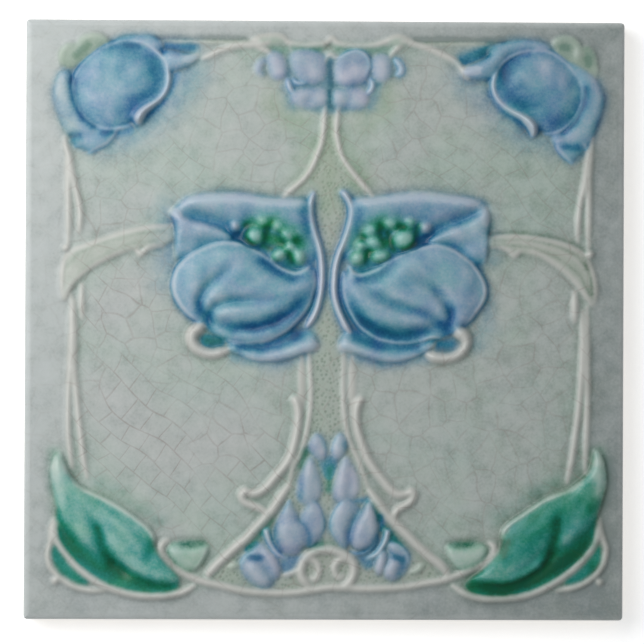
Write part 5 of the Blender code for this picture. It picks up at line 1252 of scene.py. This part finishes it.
def lay_sheet(name, i0, i1, j0, j1):
    deselect()
    bpy.ops.mesh.primitive_grid_add(x_subdivisions=i1 - i0, y_subdivisions=j1 - j0, size=1,
                                    location=(0, 0, 0))
    sheet = bpy.context.object
    sheet.name = sheet.data.name = name
    mesh = sheet.data
    here = (slice(j0, j1 + 1), slice(i0, i1 + 1))
    assert len(mesh.vertices) == face_x[here].size
    place = np.stack([face_x[here], face_y[here], face_z[here]], 2).reshape(-1) * MM
    mesh.vertices.foreach_set("co", place)
    for layer, values in layers.items():
        mesh.attributes.new(layer, "FLOAT", "POINT").data.foreach_set("value", values[here].ravel())
    bpy.ops.object.mode_set(mode="EDIT")
    bpy.ops.mesh.select_all(action="SELECT")
    bpy.ops.mesh.region_to_loop()
    bpy.ops.mesh.extrude_edges_move(TRANSFORM_OT_translate={"value": (0, 0, -MM)})
    bm = bmesh.from_edit_mesh(mesh)
    for v in bm.verts:
        if v.select:
            v.co.z = SKIRT_Z * MM
    bmesh.update_edit_mesh(mesh)
    bpy.ops.mesh.edge_face_add()
    bpy.ops.mesh.select_all(action="SELECT")
    bpy.ops.mesh.normals_make_consistent(inside=False)
    bpy.ops.object.mode_set(mode="OBJECT")
    bpy.ops.object.shade_smooth()
    return sheet, face_normal[here].reshape(-1, 3)


def set_normals(sheet, top):
    """The sheet's own slopes on its top, and flat sides, so that no seam catches the light."""
    mesh = sheet.data
    corner_vert = np.empty(len(mesh.loops), int)
    mesh.loops.foreach_get("vertex_index", corner_vert)
    totals = np.empty(len(mesh.polygons), int)
    mesh.polygons.foreach_get("loop_total", totals)
    flat = np.empty(len(mesh.polygons) * 3)
    mesh.polygons.foreach_get("normal", flat)
    flat = flat.reshape(-1, 3)
    owner = np.repeat(np.arange(len(mesh.polygons)), totals)
    on_top = (flat[:, 2] > 0.05)[owner] & (corner_vert < len(top))
    normals = flat[owner]
    normals[on_top] = top[corner_vert[on_top]]
    mesh.normals_split_custom_set(normals)


sheets = []
for row, (j0, j1) in zip(("low", "middle", "high"), zip(cut_y, cut_y[1:])):
    for side, (i0, i1) in zip(("left", "right"), zip(cut_x, cut_x[1:])):
        sheet, top = lay_sheet("face_%s_%s" % (row, side), i0, i1, j0, j1)
        set_normals(sheet, top)
        sheets.append(sheet)
        print(sheet.name, sum(len(p.vertices) - 2 for p in sheet.data.polygons), "triangles")

# %% [markdown]
# Under the glazed face is the clay body. It is a block whose upright corners are bevelled. Its back is
# cut along the edges of the keying grooves, and the strips inside them are pushed in and tapered. The
# grooves give the mortar something to grip.

# %% Clay body with its keyed back
KEYS, KEY_PITCH, KEY_W, KEY_L, KEY_D, KEY_DRAFT = 6, 18.0, 9.0, 124.0, 1.2, 0.8
BACK_BEVEL, EDGE_BEVEL = 0.4, 0.25
deselect()
bpy.ops.mesh.primitive_cube_add(size=1, location=(0, 0, SKIRT_Z / 2 * MM))
body = bpy.context.object
body.name = body.data.name = "clay_body"
bpy.ops.transform.resize(value=(SIDE * MM, SIDE * MM, SKIRT_Z * MM))
bpy.ops.object.transform_apply(location=True, rotation=True, scale=True)
bpy.ops.object.mode_set(mode="EDIT")
bpy.ops.mesh.select_mode(type="EDGE")
bpy.ops.mesh.select_all(action="DESELECT")
bm = bmesh.from_edit_mesh(body.data)
for edge in bm.edges:
    a, b = edge.verts
    edge.select_set(abs(a.co.z - b.co.z) > SKIRT_Z / 2 * MM)
bmesh.update_edit_mesh(body.data)
bpy.ops.mesh.bevel(offset=CORNER_R * MM, segments=5)
bpy.ops.mesh.select_mode(type="FACE")


def pick_back(half_x=HALF, half_y=HALF, y=0.0):
    """Select the faces that look down and whose middle is within a window."""
    bpy.ops.mesh.select_all(action="DESELECT")
    bm = bmesh.from_edit_mesh(body.data)
    for face in bm.faces:
        c = face.calc_center_median() / MM
        face.select_set(face.normal.z < -0.9 and abs(c.x) < half_x and abs(c.y - y) < half_y)
    bmesh.update_edit_mesh(body.data)
    return len(bm.faces)


faces = pick_back()
bpy.ops.mesh.bevel(offset=BACK_BEVEL * MM, segments=2)
print("block with rounded corners:", faces, "faces before the back is cut")

# %% Cut the grooves
rows = [(i - (KEYS - 1) / 2) * KEY_PITCH for i in range(KEYS)]
wide, deep = KEY_W + 2 * KEY_DRAFT, KEY_L + 2 * KEY_DRAFT
cuts = [((0, edge * MM, 0), (0, 1, 0)) for y in rows for edge in (y - wide / 2, y + wide / 2)]
cuts += [((edge * MM, 0, 0), (1, 0, 0)) for edge in (-deep / 2, deep / 2)]
for middle, normal in cuts:
    pick_back()
    bpy.ops.mesh.bisect(plane_co=middle, plane_no=normal)
for y in rows:
    pick_back(KEY_L / 2, KEY_W / 2, y)
    bpy.ops.mesh.extrude_region_move(TRANSFORM_OT_translate={"value": (0, 0, KEY_D * MM)})
    bpy.ops.transform.resize(value=(KEY_L / deep, KEY_W / wide, 1),
                             center_override=(0, y * MM, KEY_D * MM))
bpy.ops.mesh.select_all(action="SELECT")
bpy.ops.mesh.remove_doubles(threshold=1e-6)
bpy.ops.mesh.normals_make_consistent(inside=False)
bpy.ops.object.mode_set(mode="OBJECT")
bpy.ops.object.modifier_add(type="BEVEL")
body.modifiers[-1].width, body.modifiers[-1].segments = EDGE_BEVEL * MM, 2
body.modifiers[-1].limit_method, body.modifiers[-1].angle_limit = "ANGLE", math.radians(40)
bpy.ops.object.modifier_apply(modifier=body.modifiers[-1].name)
bpy.ops.object.shade_smooth_by_angle(angle=math.radians(30))
print("clay body:", len(body.data.polygons), "faces, with", len(rows), "grooves")

# %% [markdown]
# The glaze is one material. Its colour depends on two things that are stored on the points: which wash
# was brushed there, and how thick the melted glaze lies. For each wash a colour ramp runs from thin and
# milky over an edge to deep in a pool. Fine noise gives the grain of old glaze, and a net of cells
# gives the crazing, the hair cracks that run through it. Each helper adds one node to the tree in hand.

# %% Helpers for materials
def begin(name):
    made = bpy.data.materials.new(name)
    made.use_nodes = True
    return made, made.node_tree, made.node_tree.nodes["Principled BSDF"]


def node(kind, inputs=None, **values):
    """An input is a plain value, or a socket that is linked to it."""
    made = tree.nodes.new(kind)
    for key, value in values.items():
        setattr(made, key, value)
    for key, value in (inputs or {}).items():
        if isinstance(value, bpy.types.NodeSocket):
            tree.links.new(value, made.inputs[key])
        else:
            made.inputs[key].default_value = value
    return made


def srgb(r, g, b):
    """A colour as the eye names it, turned into light."""
    return tuple((c / 255 / 12.92 if c <= 10 else ((c / 255 + 0.055) / 1.055) ** 2.4)
                 for c in (r, g, b)) + (1.0,)


def ramp(value, stops):
    made = node("ShaderNodeValToRGB", {"Fac": value})
    marks = made.color_ramp.elements
    while len(marks) < len(stops):
        marks.new(0.5)
    for mark, (spot, tone) in zip(marks, stops):
        mark.position, mark.color = spot, srgb(*tone)
    return made.outputs["Color"]


def attribute(name):
    return node("ShaderNodeAttribute", attribute_name=name).outputs["Fac"]


def noise(scale, detail=4.0, out="Fac", **more):
    inputs = {"Vector": place, "Scale": scale, "Detail": detail, **more}
    return node("ShaderNodeTexNoise", inputs).outputs[out]


def calc(how, a, b, clamp=False):
    return node("ShaderNodeMath", {0: a, 1: b}, operation=how, use_clamp=clamp).outputs[0]


plus, minus, times = (partial(calc, how) for how in ("ADD", "SUBTRACT", "MULTIPLY"))


def vector(how, a, b):
    return node("ShaderNodeVectorMath", {0: a, 1: b}, operation=how).outputs[0]


def between(value, low, high, start=0.0, end=1.0):
    """Low where the value is at start, high where it is at end."""
    return node("ShaderNodeMapRange", {"Value": value, "From Min": start, "From Max": end,
                                       "To Min": low, "To Max": high}).outputs[0]


def blend(factor, a, b, how="MIX"):
    return node("ShaderNodeMix", {0: factor, 6: a, 7: b}, data_type="RGBA", blend_type=how).outputs[2]


BLACK, WHITE = (0, 0, 0), (255, 255, 255)
print("white as light:", srgb(*WHITE))

# %% Colours of the washes, from thin glaze to thick
WASHES = {
    "rail": ((0.2, (194, 199, 191)), (0.5, (170, 180, 169)), (0.85, (112, 132, 118))),
    "moss": ((0.2, (178, 190, 168)), (0.5, (150, 172, 148)), (0.85, (92, 132, 104))),
    "white": ((0.15, (202, 203, 197)), (0.5, (185, 188, 181)), (0.85, (146, 154, 147))),
    "bell": ((0.05, (186, 191, 204)), (0.3, (158, 172, 190)), (0.5, (130, 152, 178)),
             (0.7, (92, 129, 162)), (0.92, (54, 104, 142))),
    "curl": ((0.1, (180, 192, 181)), (0.4, (160, 177, 164)), (0.75, (116, 144, 130))),
    "blue": ((0.05, (174, 189, 204)), (0.25, (142, 169, 190)), (0.45, (106, 149, 176)),
             (0.65, (60, 118, 156)), (0.82, (24, 91, 136)), (1.0, (2, 66, 114))),
    "edge": ((0.15, (190, 198, 210)), (0.5, (156, 174, 196)), (0.85, (84, 122, 156))),
    "lip": ((0.1, (182, 194, 206)), (0.5, (146, 172, 194)), (0.85, (76, 124, 158))),
    "leaflet": ((0.1, (188, 204, 196)), (0.45, (146, 182, 168)), (0.85, (36, 108, 88))),
    "leaf": ((0.05, (140, 188, 180)), (0.3, (76, 157, 148)), (0.5, (30, 134, 120)),
             (0.7, (4, 108, 88)), (0.92, (0, 78, 54))),
    "berry": ((0.05, (144, 190, 184)), (0.25, (104, 172, 162)), (0.45, (58, 146, 126)),
              (0.65, (12, 116, 88)), (0.88, (0, 88, 62))),
}
print("washes:", ", ".join(WASHES))

# %% [markdown]
# The ground is mixed first: a cool border, a green panel with rosy clouds, and a dotted stipple in the
# pedestal. Then the washes go over it one by one, from the lowest to the top one. The edge of each is
# frayed with noise, because a brushed edge is never even.

# %% Mix the ground and the washes
glaze, tree, shader = begin("crazed_glaze")
place = node("ShaderNodeTexCoord").outputs["Object"]
grain, cloud, streak = noise(1500.0), noise(55.0), noise(260.0, 3.0)
STREAKY, GRAINY, FRAYED = 0.42, 0.34, 2.4
depth = plus(attribute("pool"), times(minus(streak, 0.5), STREAKY))
depth = plus(depth, times(minus(grain, 0.5), GRAINY))

border = ramp(depth, ((0.2, (198, 203, 202)), (0.45, (184, 190, 188)), (0.8, (140, 150, 148))))
ground = ramp(depth, ((0.2, (193, 204, 197)), (0.45, (172, 187, 179)), (0.8, (116, 138, 126))))
rosy = ramp(depth, ((0.2, (202, 203, 201)), (0.45, (183, 186, 184)), (0.8, (130, 138, 133))))
clouds = times(ramp(cloud, ((0.42, BLACK), (0.62, WHITE))), 0.6)
ground = blend(calc("MAXIMUM", clouds, attribute("blush")), ground, rosy)
colour = blend(attribute("panel"), border, ground)

pits = node("ShaderNodeTexVoronoi", {"Vector": place, "Scale": 900.0, "Randomness": 0.9})
dotted = times(ramp(pits.outputs["Distance"], ((0.1, WHITE), (0.5, BLACK))), attribute("stipple"))
colour = blend(times(attribute("stipple"), 0.5), colour, srgb(166, 176, 162))
colour = blend(times(dotted, 0.7), colour, srgb(128, 146, 132))

fray = times(minus(streak, 0.5), FRAYED)
for name, stops in WASHES.items():
    amount = attribute("wash_" + name)
    hem = times(amount, minus(1.0, amount))
    colour = blend(plus(amount, times(hem, fray), clamp=True), colour, ramp(depth, stops))
print("washes mixed, with", len(tree.nodes), "nodes")

# %% [markdown]
# Crazing is mostly a colour: old dirt in a hair crack. Long cracks come first and short ones end on
# them, which is how bricks are laid, so a brick pattern is bent and turned for one part of the net. A
# pattern of irregular cells makes the other part. Noise makes a crack faint or strong along its way,
# and it shows on the pale ground, most of all where the ground blushes, and hardly through a colour.

# %% Crazing
def bent(scale, reach, turn):
    """Coordinates turned by some degrees and pulled about softly, so that no crack is ruled."""
    pull = vector("SUBTRACT", noise(scale, 2.0, "Color"), (0.5, 0.5, 0.5))
    turned = node("ShaderNodeMapping", {"Vector": place, "Rotation": (0, 0, math.radians(turn))})
    return vector("ADD", turned.outputs[0], vector("MULTIPLY", pull, (reach, reach, 0.0)))


CRACK_W = 0.032
long_cracks = node("ShaderNodeTexBrick", {
    "Vector": bent(26.0, 0.02, 40), "Scale": 100.0, "Brick Width": 0.6, "Row Height": 0.5,
    "Mortar Size": CRACK_W, "Mortar Smooth": 1.0}).outputs["Fac"]
cells = node("ShaderNodeTexVoronoi", {
    "Vector": bent(70.0, 0.007, 12), "Scale": 165.0, "Randomness": 0.9},
    feature="DISTANCE_TO_EDGE", voronoi_dimensions="2D")
short_cracks = ramp(cells.outputs["Distance"], ((0.0, WHITE), (0.06, BLACK)))
crack = blend(ramp(cloud, ((0.44, BLACK), (0.56, WHITE))), long_cracks, short_cracks)
open_face = times(minus(1.0, attribute("coat")), plus(times(attribute("panel"), 0.7), 0.3))
faint = between(streak, 0.18, 0.5, 0.3, 0.7)
seen = times(faint, plus(open_face, 0.06), clamp=True)
stain = plus(times(attribute("blush"), 0.4), 0.68)
crack = times(crack, times(seen, stain))
colour = blend(crack, colour, srgb(142, 128, 120))
print("crazing drawn, with", len(tree.nodes), "nodes")

# %% [markdown]
# Two fine touches finish the colour: the hue drifts a little from spot to spot, and the grain darkens
# it in specks. The glaze is old, so its gloss is soft and uneven under a thin clear coat, and the same
# grain, streaks, dots and cracks are felt as a very shallow bump.

# %% Grain and gloss
hue = between(noise(140.0, Distortion=0.6), 0.466, 0.512, 0.3, 0.7)
colour = node("ShaderNodeHueSaturation", {"Color": colour, "Hue": hue}).outputs["Color"]
speck = ramp(grain, ((0.3, (244, 244, 244)), (0.7, WHITE)))
colour = blend(0.6, colour, speck, "MULTIPLY")
tree.links.new(colour, shader.inputs["Base Color"])
tree.links.new(between(streak, 0.26, 0.4), shader.inputs["Roughness"])
shader.inputs["Specular IOR Level"].default_value = 0.27
shader.inputs["Coat Weight"].default_value = 0.05
shader.inputs["Coat Roughness"].default_value = 0.24
skin = plus(times(grain, 0.25), times(streak, 0.5))
skin = minus(minus(skin, times(dotted, 0.8)), times(crack, 0.6))
bump = node("ShaderNodeBump", {"Height": skin, "Strength": 0.35, "Distance": 0.2 * MM})
tree.links.new(bump.outputs["Normal"], shader.inputs["Normal"])
print("crazed glaze:", len(tree.nodes), "nodes")

# %% [markdown]
# The body is bare fired clay, buff and a little dusty. Glaze ran over the edge in places, so a pale
# smear hangs from the face down the sides, with an uneven end.

# %% Fired clay material
clay, tree, shader = begin("fired_clay")
place = node("ShaderNodeTexCoord").outputs["Object"]
cloud, grit, drip = noise(60.0, 5.0), noise(1500.0), noise(150.0, 2.0)
colour = ramp(cloud, ((0.3, (196, 178, 148)), (0.7, (222, 208, 182))))
colour = blend(times(grit, 0.35), colour, srgb(150, 132, 106))
up = node("ShaderNodeSeparateXYZ", {"Vector": place}).outputs["Z"]
RUN_END, RUN_EDGE, RUN_WAVES = 9.6, 0.3, 6.0
line = plus(up, times(drip, RUN_WAVES * MM))
over = between(line, 0.0, 1.0, RUN_END * MM, (RUN_END + RUN_EDGE) * MM)
colour = blend(over, colour, srgb(182, 190, 190))
tree.links.new(colour, shader.inputs["Base Color"])
tree.links.new(between(over, 0.85, 0.3), shader.inputs["Roughness"])
bump = node("ShaderNodeBump", {"Height": grit, "Strength": 0.4, "Distance": 0.3 * MM})
tree.links.new(bump.outputs["Normal"], shader.inputs["Normal"])
print("fired clay:", len(tree.nodes), "nodes")

# %% Dress the pieces
for piece, finish in [(sheet, glaze) for sheet in sheets] + [(body, clay)]:
    piece.data.materials.clear()
    piece.data.materials.append(finish)
    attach(piece, "root")
    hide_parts("tile")
print(len(sheets) + 1, "pieces ride on the tile")

# %% [markdown]
# The tile lies on a pale table and is photographed from straight above, with a long lens. One soft lamp
# stands to the upper left, near enough that the left side is brighter than the right, and a dim even
# sky fills the shadows. The table glows a little of its own, so that it stays pale to its far edges.

# %% Table and light
deselect()
bpy.ops.mesh.primitive_plane_add(size=4.0, location=(0, 0, -0.2 * MM))
table = bpy.context.object
table.name = "table"
paper, tree, shader = begin("table_white")
for socket, value in (("Base Color", (0.9, 0.9, 0.9, 1)), ("Roughness", 0.9),
                      ("Emission Color", (1, 1, 1, 1)), ("Emission Strength", 0.55)):
    shader.inputs[socket].default_value = value
table.data.materials.append(paper)

deselect()
LAMP_AT = (-0.215, 0.12, 0.32)
bpy.ops.object.light_add(type="AREA", location=LAMP_AT)
lamp = bpy.context.object
lamp.name = "window"
lamp.data.shape, lamp.data.size, lamp.data.energy = "SQUARE", 0.36, 1.43
lamp.rotation_euler = (-Vector(LAMP_AT)).to_track_quat("-Z", "Y").to_euler()

studio = bpy.data.worlds.new("studio")
studio.use_nodes = True
sky = studio.node_tree.nodes["Background"].inputs
sky["Color"].default_value, sky["Strength"].default_value = (0.93, 0.97, 1.0, 1), 0.27
bpy.context.scene.world = studio
bpy.context.scene.view_settings.view_transform = "Standard"
print("lamp %.0f mm from the tile" % (Vector(LAMP_AT).length / MM))

# %% Camera
CAMERA_AT, CAMERA_TURN = (-0.02166, -0.00756, 0.90861), (0.446, -1.336, 0.253)
bpy.ops.object.camera_add(location=CAMERA_AT, rotation=[math.radians(a) for a in CAMERA_TURN])
camera = bpy.context.object
camera.data.lens, camera.data.sensor_width = 197.74, 36
camera.data.clip_start, camera.data.clip_end = 0.01, 20
bpy.context.scene.camera = camera
print("camera %.0f mm over the table" % (camera.location.z * 1000))
